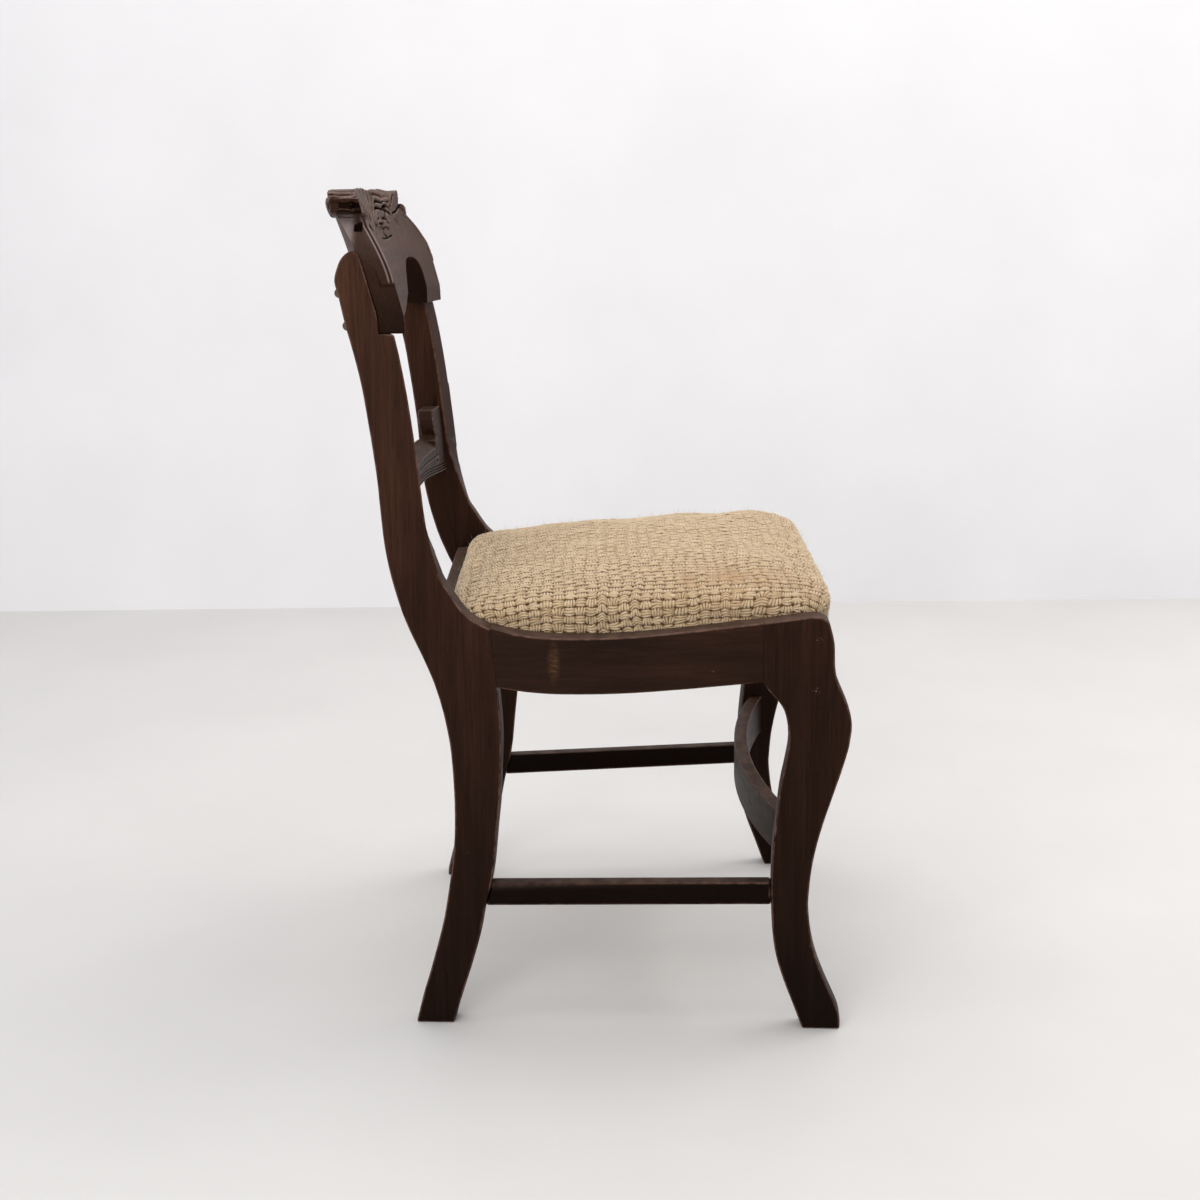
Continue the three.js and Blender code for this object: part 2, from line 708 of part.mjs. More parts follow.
// A closed solid through rings that may be hollow-sided, so its ends are filled as flat shapes.
function end_capped(rings) {
  const positions = rings.flatMap((ring) => ring.flatMap(([x, forward, height]) => [x, -forward, height]));
  const count = rings[0].length;
  const index = band_triangles(rings.length, count);
  const last = (rings.length - 1) * count;
  const flat = rings[0].map(([, forward, height]) => new THREE.Vector2(forward, height));
  for (const corners of THREE.ShapeUtils.triangulateShape(flat, [])) {
    const turn = THREE.ShapeUtils.area(corners.map((k) => flat[k])) * THREE.ShapeUtils.area(flat);
    const along = turn > 0 ? corners : [...corners].reverse();
    index.push(...[...along].reverse(), ...along.map((k) => last + k));
  }
  return indexed(positions, index);
}

function band_triangles(ring_count, count) {
  const index = [];
  for (let i = 0; i + 1 < ring_count; i += 1) {
    for (let k = 0; k < count; k += 1) {
      const a = i * count + k;
      const b = i * count + ((k + 1) % count);
      index.push(a, b, b + count, a, b + count, a + count);
    }
  }
  return index;
}

function indexed(positions, index) {
  const geometry = new THREE.BufferGeometry();
  geometry.setAttribute('position', new THREE.Float32BufferAttribute(positions, 3));
  geometry.setIndex(index);
  return outward(geometry);
}

// Mid rail

const mid_half_width = inner_half_width(mid_rail_end_forward) - fit_gap;
const mid_inner_radius = (mid_half_width ** 2 + mid_rail_bow ** 2) / (2 * mid_rail_bow);
const mid_arc_centre = mid_rail_end_forward - mid_rail_bow + mid_inner_radius;

function mid_lean(height) {
  return mid_rail_rake_share * (height - mid_rail_bottom_height);
}

function mid_rail() {
  const point = ([across, up]) => [across * mid_half_width, mid_rail_bottom_height + up * mid_rail_height];
  const ends_reach = mid_half_width + cut_overrun;
  const stretch = ([x, height]) => [
    Math.abs(x) > mid_half_width - fit_gap ? Math.sign(x) * ends_reach : x, height,
  ];
  const bottom = spline_points(mid_bottom_shares.map(point));
  const top = [point(mid_top_shares[0]), ...spline_points(mid_top_shares.slice(1).map(point))];
  const half = [...bottom, ...top].map(stretch);
  const other = half.slice(1, -1).reverse().map(([x, height]) => [-x, height]);
  const high = mid_rail_bottom_height + mid_rail_height;
  const front = mid_rail_end_forward + mid_rail_bow;
  const rear = mid_rail_end_forward - 2 * mid_rail_bow - mid_rail_thickness - mid_lean(high) - cut_overrun;
  const blank = front_block([...half, ...other], rear, front);
  const slab = leaned(curved_slab(
    mid_inner_radius, mid_inner_radius + mid_rail_thickness, mid_arc_centre, ends_reach + cut_overrun,
    mid_rail_bottom_height - cut_overrun, high + cut_overrun, small_arc_segments, 1,
  ), mid_lean);
  const between = plan_block([
    [-inner_half_width(rear) + fit_gap, rear], [inner_half_width(rear) - fit_gap, rear],
    [inner_half_width(front) - fit_gap, front], [-inner_half_width(front) + fit_gap, front],
  ], mid_rail_bottom_height - cut_overrun, high + cut_overrun);
  return cut(common(common(blank, slab), between), [mid_bevel(), ...mid_dowels().map((d) => d.hole)]);
}

// What bevels the top of the mid rail between its end blocks, from a ridge on the front face up to the back.
function mid_bevel() {
  const middle_ridge = mid_rail_bottom_height + mid_bevel_ridge_share * mid_rail_height;
  const reach = mid_bevel_reach_share * mid_half_width;
  const slope = mid_bevel_rise / mid_rail_thickness;
  const past = mid_rail_thickness + cut_overrun;
  const over = mid_rail_height;
  const rings = [];
  for (let i = 0; i <= small_arc_segments; i += 1) {
    const x = -reach + (2 * reach * i) / small_arc_segments;
    const front = mid_arc_centre - Math.sqrt(mid_inner_radius ** 2 - x * x);
    const ridge = middle_ridge - mid_bevel_ridge_drop * (x / reach) ** 2;
    const section = [
      [-cut_overrun, ridge - slope * cut_overrun], [past, ridge + slope * past],
      [past, ridge + over], [-cut_overrun, ridge + over],
    ];
    rings.push(section.map(([behind, height]) => [x, front - mid_lean(height) - behind, height]));
  }
  return lofted(rings);
}

// Dowels and their holes, in the chair's frame unless said otherwise

function dowel(start, end) {
  const from = new THREE.Vector3(...start);
  const to = new THREE.Vector3(...end);
  const unit = to.clone().sub(from).normalize();
  return {
    peg: rod(start, end, dowel_radius, dowel_chamfer),
    hole: rod(
      from.clone().addScaledVector(unit, -dowel_end_clearance).toArray(),
      to.clone().addScaledVector(unit, dowel_end_clearance).toArray(), dowel_hole_radius,
    ),
  };
}

// Dowels across the chair, half in a cross rail's end and half in the side frame's inner face.
function cross_dowels(forward, heights) {
  const reach = (board_thickness * 2) / 3;
  const centre = inner_half_width(forward);
  return heights.flatMap((height) => side_names.map(([, side]) => {
    const inner = side * (centre - (dowel_length - reach));
    const outer = side * (centre + reach);
    return dowel([inner, -forward, height], [outer, -forward, height]);
  }));
}

function front_rail_dowels() {
  const heights = [front_rail_bottom_height + rail_dowel_inset, front_rail_top_height - rail_dowel_inset];
  return cross_dowels(front_rail_forward - front_rail_thickness / 2, heights);
}

function rear_rail_dowels() {
  const heights = [rear_rail_bottom_height + rail_dowel_inset, rear_rail_top_height - rail_dowel_inset];
  return cross_dowels(rear_rail_forward - rear_rail_thickness / 2, heights);
}

function mid_dowels() {
  const low = mid_rail_bottom_height + mid_rail_height * mid_dowel_low_share;
  const high = mid_rail_bottom_height + mid_rail_height * mid_dowel_high_share;
  const half_run = dowel_length / 2 - board_thickness / 3;
  const face = mid_arc_centre - Math.sqrt(mid_inner_radius ** 2 - (mid_half_width - half_run) ** 2);
  const middle = face - mid_rail_thickness / 2;
  return [low, high].flatMap((height) => cross_dowels(middle - mid_lean(height), [height]));
}

// Dowels along a side rail, drawn in the side frame's own coordinates.
function side_rail_dowels() {
  const x = board_thickness / 2;
  const rear_heights = [rail_bottom_rear_height + rail_dowel_inset, rail_top_rear_height - rail_dowel_inset];
  const front_heights = [
    rail_bottom_front_height + rail_dowel_inset, rail_top_front_height - rail_dowel_inset,
  ];
  const half = dowel_length / 2;
  const rear_forward = rear_joint_forward + rear_joint_lean / 2;
  const across = (forward, height) => dowel([x, -(forward - half), height], [x, -(forward + half), height]);
  return [
    ...rear_heights.map((height) => across(rear_forward, height)),
    ...front_heights.map((height) => across(front_joint_forward, height)),
  ];
}

// Side stretcher with a stub tenon at each end, drawn in the side frame's own coordinates.
function stretcher_outline(grow, tenon) {
  const shrink = tenon_shoulder - grow;
  const [rear, front] = [stretcher_rear_forward, stretcher_front_forward];
  const [rear_low, front_low] = [stretcher_rear_height, stretcher_front_height];
  const slope = (front_low - rear_low) / (front - rear);
  const low_at = (forward) => rear_low + slope * (forward - rear);
  const ends = tenon
    ? [rear - stretcher_tenon_length - grow, front + stretcher_tenon_length + grow]
    : [rear - tenon_shoulder, front + tenon_shoulder];
  const trim = tenon ? shrink : 0;
  return [
    [ends[0], low_at(ends[0]) + trim], [ends[1], low_at(ends[1]) + trim],
    [ends[1], low_at(ends[1]) + stretcher_height - trim],
    [ends[0], low_at(ends[0]) + stretcher_height - trim],
  ];
}

function stretcher_tenon(grow) {
  const thickness = stretcher_thickness - 2 * tenon_shoulder + 2 * grow;
  return side_board(stretcher_outline(grow, true), thickness, stretcher_inset + tenon_shoulder - grow);
}

function side_stretcher() {
  const whole = side_board(stretcher_outline(0, false), stretcher_thickness, stretcher_inset);
  const post_face = side_board(post_outline(), board_thickness).translate(0, -fit_gap, 0);
  const leg_face = side_board(front_leg_outline(), board_thickness).translate(0, fit_gap, 0);
  return joined([cut(whole, [post_face, leg_face]), stretcher_tenon(0)]);
}

// Front stretcher

function bow_slab(grow, low, high, reach) {
  const half = inner_half_width(bow_stretcher_end_forward);
  const inner = (half ** 2 + bow_stretcher_depth ** 2) / (2 * bow_stretcher_depth);
  const centre = bow_stretcher_end_forward - bow_stretcher_depth + inner;
  const outer = inner + bow_stretcher_thickness;
  return curved_slab(inner - grow, outer + grow, centre, reach, low, high, bow_arc_segments, 1);
}

function bow_stretcher_bands() {
  const low = bow_stretcher_bottom_height;
  const high = low + bow_stretcher_height;
  const rear = bow_stretcher_end_forward - bow_stretcher_depth - bow_stretcher_thickness - cut_overrun;
  const front = bow_stretcher_end_forward + bow_stretcher_depth;
  const limit = (extra) => plan_block([
    [-inner_half_width(rear) - extra, rear], [inner_half_width(rear) + extra, rear],
    [inner_half_width(front) + extra, front], [-inner_half_width(front) - extra, front],
  ], low - cut_overrun, high + cut_overrun);
  const reach = inner_half_width(front) + bow_tenon_length;
  return { low, high, limit, reach };
}

function bow_tenon_slab(grow) {
  const { low, high, limit, reach } = bow_stretcher_bands();
  const slab = bow_slab(
    grow - tenon_shoulder, low + tenon_shoulder - grow, high - tenon_shoulder + grow, reach,
  );
  return common(slab, limit(bow_tenon_length + grow));
}

function bow_stretcher() {
  const { low, high, limit, reach } = bow_stretcher_bands();
  const body = common(bow_slab(0, low, high, reach), limit(-fit_gap));
  return joined([body, bow_tenon_slab(0)]);
}

// Cross rails of the seat frame

function cross_rail(forward, thickness, low, high, dowels) {
  const rear = forward - thickness;
  const outline = [
    [-inner_half_width(rear) + fit_gap, rear], [inner_half_width(rear) - fit_gap, rear],
    [inner_half_width(forward) - fit_gap, forward], [-inner_half_width(forward) + fit_gap, forward],
  ];
  return cut(plan_block(outline, low, high), dowels.map((d) => d.hole));
}

// Corner blocks: triangles with blunt tips, glued and screwed into the corners of the seat frame.

function corner_block_plan(side, front) {
  const base = front
    ? front_rail_forward - front_rail_thickness - fit_gap
    : rear_rail_forward + fit_gap;
  const step = front ? -1 : 1;
  const side_at = (forward) => side * (inner_half_width(forward) - fit_gap);
  const along_side = base + step * corner_block_leg;
  const tip_forward = base + step * corner_block_tip;
  const across = side_at(base) - side * corner_block_leg;
  return [
    [side_at(base), base], [side_at(along_side), along_side],
    [side_at(along_side) - side * corner_block_tip, along_side], [across, tip_forward], [across, base],
  ];
}

function block_screws(side, front) {
  const step = front ? -1 : 1;
  const base = front
    ? front_rail_forward - front_rail_thickness - fit_gap
    : rear_rail_forward + fit_gap;
  const low = seat_deck_height - corner_block_height;
  const first_height = low + corner_block_height * block_screw_low_share;
  const second_height = low + corner_block_height * block_screw_high_share;
  const run = corner_block_leg * block_screw_run_share;
  const depth = corner_block_leg - run + corner_block_tip / 2;
  const side_forward = base + step * run;
  const side_start = side * (inner_half_width(side_forward) - fit_gap - depth);
  const rail_x = side * (inner_half_width(base) - fit_gap - run);
  const rail_start = base + step * depth;
  return [
    { start: [side_start, -side_forward, second_height], direction: [side, 0, 0] },
    { start: [rail_x, -rail_start, first_height], direction: [0, step, 0] },
  ];
}

function seat_screw_place(side, front) {
  const base = front ? front_rail_forward - front_rail_thickness : rear_rail_forward;
  const step = front ? -1 : 1;
  const forward = base + step * (front ? seat_screw_front_inset : seat_screw_rear_inset);
  const across = inner_half_width(forward) - seat_screw_side_inset;
  return [side * across, -forward, seat_deck_height - corner_block_height - fit_gap];
}

const block_places = side_names.flatMap(([side_name, side]) => [
  { name: `corner_block_front_${side_name}`, side, front: true },
  { name: `corner_block_rear_${side_name}`, side, front: false },
]);

function corner_block({ side, front }) {
  const low = seat_deck_height - corner_block_height;
  const body = plan_block(corner_block_plan(side, front), low, seat_deck_height - fit_gap);
  const holes = block_screws(side, front).map((s) => screw_hole(s.start, s.direction, block_screw_length));
  const seats = block_screws(side, front).map((s) => screw_pocket(s.start, s.direction));
  const seat_hole = screw_hole(seat_screw_place(side, front), [0, 0, 1], seat_screw_length);
  return cut(body, [...holes, ...seats, seat_hole]);
}

// A pocket behind a screw's head, open towards the driver.
function screw_pocket(start, direction) {
  const unit = new THREE.Vector3(...direction).normalize();
  const seat = new THREE.Vector3(...start).addScaledVector(unit, fit_gap);
  const back = new THREE.Vector3(...start).addScaledVector(unit, -corner_block_leg);
  return rod(back.toArray(), seat.toArray(), screw_head_radius + screw_pocket_clearance, 0, screw_sides);
}

function all_block_screws() {
  return block_places.flatMap(({ side, front }) => block_screws(side, front));
}

// Slip seat

function seat_plan(inset, arc_points = seat_corner_points) {
  const rear = seat_rear_forward + inset;
  const front = seat_front_forward - inset;
  const half = (forward) => inner_half_width(forward) - seat_side_gap - inset;
  const corners = [
    [half(front), front], [-half(front), front], [-half(rear), rear], [half(rear), rear],
  ];
  const radius = Math.max(seat_least_radius, seat_corner_radius - inset);
  const outline = [[0, front]];
  [1, 2, 3, 0].forEach((i) => {
    const before = corners.at(i - 1);
    const after = corners[(i + 1) % corners.length];
    const at = new THREE.Vector2(...corners[i]);
    const into = new THREE.Vector2(...before).sub(at).normalize();
    const out = new THREE.Vector2(...after).sub(at).normalize();
    const start = at.clone().addScaledVector(into, radius);
    const end = at.clone().addScaledVector(out, radius);
    for (let k = 0; k <= arc_points; k += 1) {
      const t = k / arc_points;
      const u = 1 - t;
      outline.push([
        u * u * start.x + 2 * u * t * at.x + t * t * end.x,
        u * u * start.y + 2 * u * t * at.y + t * t * end.y,
      ]);
    }
  });
  return outline;
}

// Points along an outline at equal steps, as many as asked for.
function even_outline(outline, count) {
  const loop = [...outline, outline[0]];
  const lengths = [0];
  for (let i = 1; i < loop.length; i += 1) {
    lengths.push(lengths[i - 1] + Math.hypot(loop[i][0] - loop[i - 1][0], loop[i][1] - loop[i - 1][1]));
  }
  const total = lengths[lengths.length - 1];
  const points = [];
  let k = 1;
  for (let i = 0; i < count; i += 1) {
    const target = (total * i) / count;
    while (lengths[k] < target) k += 1;
    const t = (target - lengths[k - 1]) / (lengths[k] - lengths[k - 1]);
    points.push([
      loop[k - 1][0] + t * (loop[k][0] - loop[k - 1][0]), loop[k - 1][1] + t * (loop[k][1] - loop[k - 1][1]),
    ]);
  }
  return points;
}

const seat_centre_forward = (seat_front_forward + seat_rear_forward) / 2;
const seat_half_depth = (seat_front_forward - seat_rear_forward) / 2;

// Height of the padded top above the deck: an edge roll that rises to a crown, higher towards the front.
const crown_ring_shares = [1.0, 0.985, 0.955, 0.90, 0.80, 0.66, 0.50, 0.33, 0.16];
const crown_rise_shares = [0.0, 0.16, 0.30, 0.46, 0.64, 0.80, 0.91, 0.97, 0.995];

// A dome from the edge height to the crown over an outline, drawn in to a point in the middle.
function crowned_rings(outline, base_height, edge_height, crown_height) {
  return crown_ring_shares.map((reach, i) => outline.map(([x, forward]) => {
    const ahead = (forward - seat_centre_forward) * reach;
    const tilt = seat_edge_tilt + (seat_crown_tilt - seat_edge_tilt) * crown_rise_shares[i];
    const height = base_height + edge_height + (crown_height - edge_height) * crown_rise_shares[i];
    return [x * reach, seat_centre_forward + ahead, height + (tilt * ahead) / seat_half_depth];
  }));
}

function domed_solid(outline_rings, top_height) {
  const rings = outline_rings;
  const count = rings[0].length;
  const positions = [];
  const index = [];
  for (const ring of rings) for (const [x, forward, height] of ring) positions.push(x, -forward, height);
  index.push(...band_triangles(rings.length, count));
  const low = rings.length * count;
  const middle = rings[0].reduce((sum, p) => [sum[0] + p[0] / count, sum[1] + p[1] / count], [0, 0]);
  positions.push(middle[0], -middle[1], rings[0][0][2]);
  positions.push(0, -seat_centre_forward, top_height);
  const last = (rings.length - 1) * count;
  for (let k = 0; k < count; k += 1) {
    const next = (k + 1) % count;
    index.push(low, next, k);
    index.push(low + 1, last + k, last + next);
  }
  return indexed(positions, index);
}

const seat_outline_points = 40;
const board_low = seat_deck_height + cover_thickness + 2 * fit_gap;
const board_high = board_low + board_ply_thickness;

function ring_at(inset, height) {
  return even_outline(seat_plan(inset), seat_outline_points).map(([x, forward]) => [x, forward, height]);
}

function cover_outer() {
  const outline = even_outline(seat_plan(0), seat_outline_points);
  const rings = [
    ring_at(cover_thickness, seat_deck_height + fit_gap),
    ring_at(seat_edge_draw / 2, seat_deck_height + fit_gap + cover_thickness),
    ring_at(seat_edge_draw, seat_deck_height + seat_edge_height * cover_waist_share),
    ...crowned_rings(outline, seat_deck_height, seat_edge_height, seat_crown_height),
  ];
  return domed_solid(rings, seat_deck_height + seat_crown_height);
}

function filling_shape(inset, low) {
  const outline = even_outline(seat_plan(inset), seat_outline_points);
  const rings = [
    ring_at(inset + seat_edge_draw, low),
    ring_at(inset + seat_edge_draw, seat_deck_height + seat_edge_height * filling_waist_share),
    ...crowned_rings(outline, seat_deck_height - inset, seat_edge_height, seat_crown_height),
  ];
  return domed_solid(rings, seat_deck_height - inset + seat_crown_height);
}

function seat_board() {
  const inset = cover_thickness + seat_edge_draw + fit_gap;
  const holes = block_places.map(({ side, front }) => (
    screw_hole(seat_screw_place(side, front), [0, 0, 1], seat_screw_length)
  ));
  return cut(plan_block(seat_plan(inset), board_low, board_high), holes);
}

function seat_filling() {
  return filling_shape(cover_thickness + fit_gap, board_high + fit_gap);
}

// The cover is a skin over filling and board, turned under the board by a hem.
function seat_cover() {
  const inside = filling_shape(cover_thickness, board_high);
  const inset = cover_thickness + seat_edge_draw;
  const board_space = plan_block(
    seat_plan(inset), seat_deck_height + fit_gap + cover_thickness, board_high + cut_overrun / 2,
  );
  const mouth = plan_block(
    seat_plan(cover_hem_width), seat_deck_height - cut_overrun, board_high,
  );
  return cut(cover_outer(), [inside, board_space, mouth]);
}

// Assembly

const chair = new THREE.Group();
const crest_hole_cutter = crest_seat_cutter();

// Screws from the back of each stile into the crest rail, square to the stile's back edge.
function crest_screws_right() {
  const back_edge = spline_points([
    ...stile_crown_shares.map(stile_point), ...stile_back_shares.map(stile_point),
  ]);
  return [crest_screw_low_rise, crest_screw_high_rise].map((rise) => {
    const height = crest_seat_height + rise;
    const k = back_edge.findIndex((p) => p[1] < height);
    const [above, below] = [back_edge[k - 1], back_edge[k]];
    const t = (above[1] - height) / (above[1] - below[1]);
    const forward = above[0] + t * (below[0] - above[0]);
    const slope = (below[0] - above[0]) / (above[1] - below[1]);
    const direction = new THREE.Vector3(0, -1, slope).normalize();
    const face = new THREE.Vector3(board_thickness / 2, -forward, height);
    const start = face.addScaledVector(direction, -fit_gap);
    return { start: start.toArray(), direction: direction.toArray() };
  });
}

// Holes of the corner blocks' screws in the right-hand side frame, in its own coordinates.
function side_block_holes() {
  return block_places.filter((b) => b.side < 0).map((b) => {
    const [into_side] = block_screws(b.side, b.front);
    return in_side_frame(screw_hole(into_side.start, into_side.direction, block_screw_length));
  });
}

function post() {
  const cutters = [
    ...side_block_holes(),
    in_side_frame(crest_hole_cutter),
    stile_cant_cutter(),
    ...side_rail_dowels().slice(0, 2).map((d) => d.hole),
    ...rear_rail_dowels().map((d) => in_side_frame(d.hole)),
    ...mid_dowels().map((d) => in_side_frame(d.hole)),
    stretcher_tenon(fit_gap),
    ...crest_screws_right().map((s) => screw_hole(s.start, s.direction, crest_screw_length)),
  ];
  return cut(side_board(post_outline(), board_thickness), cutters);
}

function front_leg() {
  const cutters = [
    ...side_block_holes(),
    ...side_rail_dowels().slice(2).map((d) => d.hole),
    ...front_rail_dowels().map((d) => in_side_frame(d.hole)),
    stretcher_tenon(fit_gap),
    in_side_frame(bow_tenon_slab(fit_gap)),
  ];
  return cut(side_board(front_leg_outline(), board_thickness), cutters);
}

function side_rail() {
  const cutters = [
    ...side_rail_dowels().map((d) => d.hole),
    ...side_block_holes(),
  ];
  return cut(side_board(rail_outline(fit_gap), board_thickness), cutters);
}

const right_pieces = {
  post: post(),
  front_leg: front_leg(),
  side_rail: side_rail(),
  side_stretcher: side_stretcher(),
};

for (const [side_name, side] of side_names) {
  const side_frame = new THREE.Group();
  side_frame.position.set(side * front_half_width, 0, 0);
  side_frame.rotation.z = side * frame_toe_in;
  for (const [piece_name, geometry] of Object.entries(right_pieces)) {
    const own_geometry = side < 0 ? geometry : mirrored(geometry);
    side_frame.add(mesh(`${piece_name}_${side_name}`, own_geometry, walnut_stain));
  }
  chair.add(side_frame);
}

// Every copy of a fastener is a piece of its own.
function add_each(name, geometries, finish) {
  geometries.forEach((geometry, i) => chair.add(mesh(`${name}_${i + 1}`, geometry, finish)));
}

// Copies that belong to a side frame, placed in the right-hand frame and mirrored into the left-hand one.
function both_sides(right_geometries) {
  const right = right_geometries.map((g) => bare_copy(g).applyMatrix4(right_frame));
  return [...right, ...right.map(mirrored)];
}

const crest_screw_holes = both_sides(
  crest_screws_right().map((s) => screw_hole(s.start, s.direction, crest_screw_length)),
);

chair.add(mesh('crest_rail', cut(crest_rail(), crest_screw_holes), walnut_stain));
chair.add(mesh('mid_rail', mid_rail(), walnut_stain));
chair.add(mesh('front_stretcher', bow_stretcher(), walnut_stain));

const block_screw_holes = all_block_screws().map((s) => screw_hole(s.start, s.direction, block_screw_length));
chair.add(mesh('front_rail', cut(cross_rail(
  front_rail_forward, front_rail_thickness, front_rail_bottom_height, front_rail_top_height,
  front_rail_dowels(),
), block_screw_holes), walnut_stain));
chair.add(mesh('rear_rail', cut(cross_rail(
  rear_rail_forward, rear_rail_thickness, rear_rail_bottom_height, rear_rail_top_height, rear_rail_dowels(),
), block_screw_holes), walnut_stain));

for (const place of block_places) chair.add(mesh(place.name, corner_block(place), inner_wood));

chair.add(mesh('seat_board', seat_board(), ply_wood));
chair.add(mesh('seat_filling', seat_filling(), cotton_filling));
chair.add(mesh('seat_cover', seat_cover(), wool_cover));

add_each('side_rail_dowel', both_sides(side_rail_dowels().map((d) => d.peg)), inner_wood);
add_each('front_rail_dowel', front_rail_dowels().map((d) => d.peg), inner_wood);
add_each('rear_rail_dowel', rear_rail_dowels().map((d) => d.peg), inner_wood);
add_each('mid_rail_dowel', mid_dowels().map((d) => d.peg), inner_wood);

add_each('crest_screw', both_sides(
  crest_screws_right().map((s) => screw(s.start, s.direction, crest_screw_length)),
), aged_steel);
add_each('corner_block_screw', all_block_screws().map((s) => (
  screw(s.start, s.direction, block_screw_length)
)), steel);
add_each('seat_screw', block_places.map(({ side, front }) => (
  screw(seat_screw_place(side, front), [0, 0, 1], seat_screw_length)
)), steel);

// The origin is the middle of the chair's box, on the floor.
const extent = new THREE.Box3().setFromObject(chair);
chair.position.y = -(extent.min.y + extent.max.y) / 2;

export default chair;
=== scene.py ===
"""Dresses the carved side chair: stained wood, carved crest, woven seat, screws, floor, light and camera."""

import json
import math

import bmesh
import bpy
import numpy as np
from mathutils import Matrix, Vector


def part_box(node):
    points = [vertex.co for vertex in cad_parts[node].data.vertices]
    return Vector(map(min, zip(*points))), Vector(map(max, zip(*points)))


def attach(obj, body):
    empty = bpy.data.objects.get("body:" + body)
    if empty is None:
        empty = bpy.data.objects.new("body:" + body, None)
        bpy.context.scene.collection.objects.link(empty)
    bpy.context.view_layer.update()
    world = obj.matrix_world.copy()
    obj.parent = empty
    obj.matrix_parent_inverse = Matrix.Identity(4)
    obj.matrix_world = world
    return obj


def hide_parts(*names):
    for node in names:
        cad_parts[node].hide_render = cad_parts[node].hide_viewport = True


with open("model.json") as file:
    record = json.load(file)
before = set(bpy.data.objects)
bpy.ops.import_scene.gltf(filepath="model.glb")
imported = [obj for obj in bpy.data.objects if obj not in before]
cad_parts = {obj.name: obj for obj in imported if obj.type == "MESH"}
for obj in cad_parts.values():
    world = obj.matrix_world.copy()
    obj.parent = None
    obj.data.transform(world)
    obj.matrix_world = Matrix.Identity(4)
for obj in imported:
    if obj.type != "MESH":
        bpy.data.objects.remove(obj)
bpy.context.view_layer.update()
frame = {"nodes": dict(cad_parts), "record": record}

MM = 0.001
TINY = 1e-12


def new_object(name, data):
    """An object linked to the scene."""
    thing = bpy.data.objects.new(name, data)
    bpy.context.scene.collection.objects.link(thing)
    return thing


# Camera
LENS_MM = 55.32
SENSOR_MM = 36.0
CLIP_END = 50.0
CAMERA_PLACE = (-1.97276, -0.01495, 0.87573)
CAMERA_RIGHT = (-0.00214, -0.99994, -0.01081)
CAMERA_UP = (0.23549, -0.01101, 0.97181)
CAMERA_FORWARD = (0.97187, 0.00046, -0.23550)


def make_camera():
    """The camera at the photograph's viewing angle."""
    data = bpy.data.cameras.new("camera")
    data.lens = LENS_MM
    data.sensor_width = SENSOR_MM
    data.sensor_fit = "HORIZONTAL"
    data.clip_end = CLIP_END
    camera = new_object("camera", data)
    right, up, forward = Vector(CAMERA_RIGHT), Vector(CAMERA_UP), Vector(CAMERA_FORWARD)
    turn = Matrix((right, up, -forward)).transposed().to_4x4()
    camera.matrix_world = Matrix.Translation(CAMERA_PLACE) @ turn
    bpy.context.scene.camera = camera
    return camera


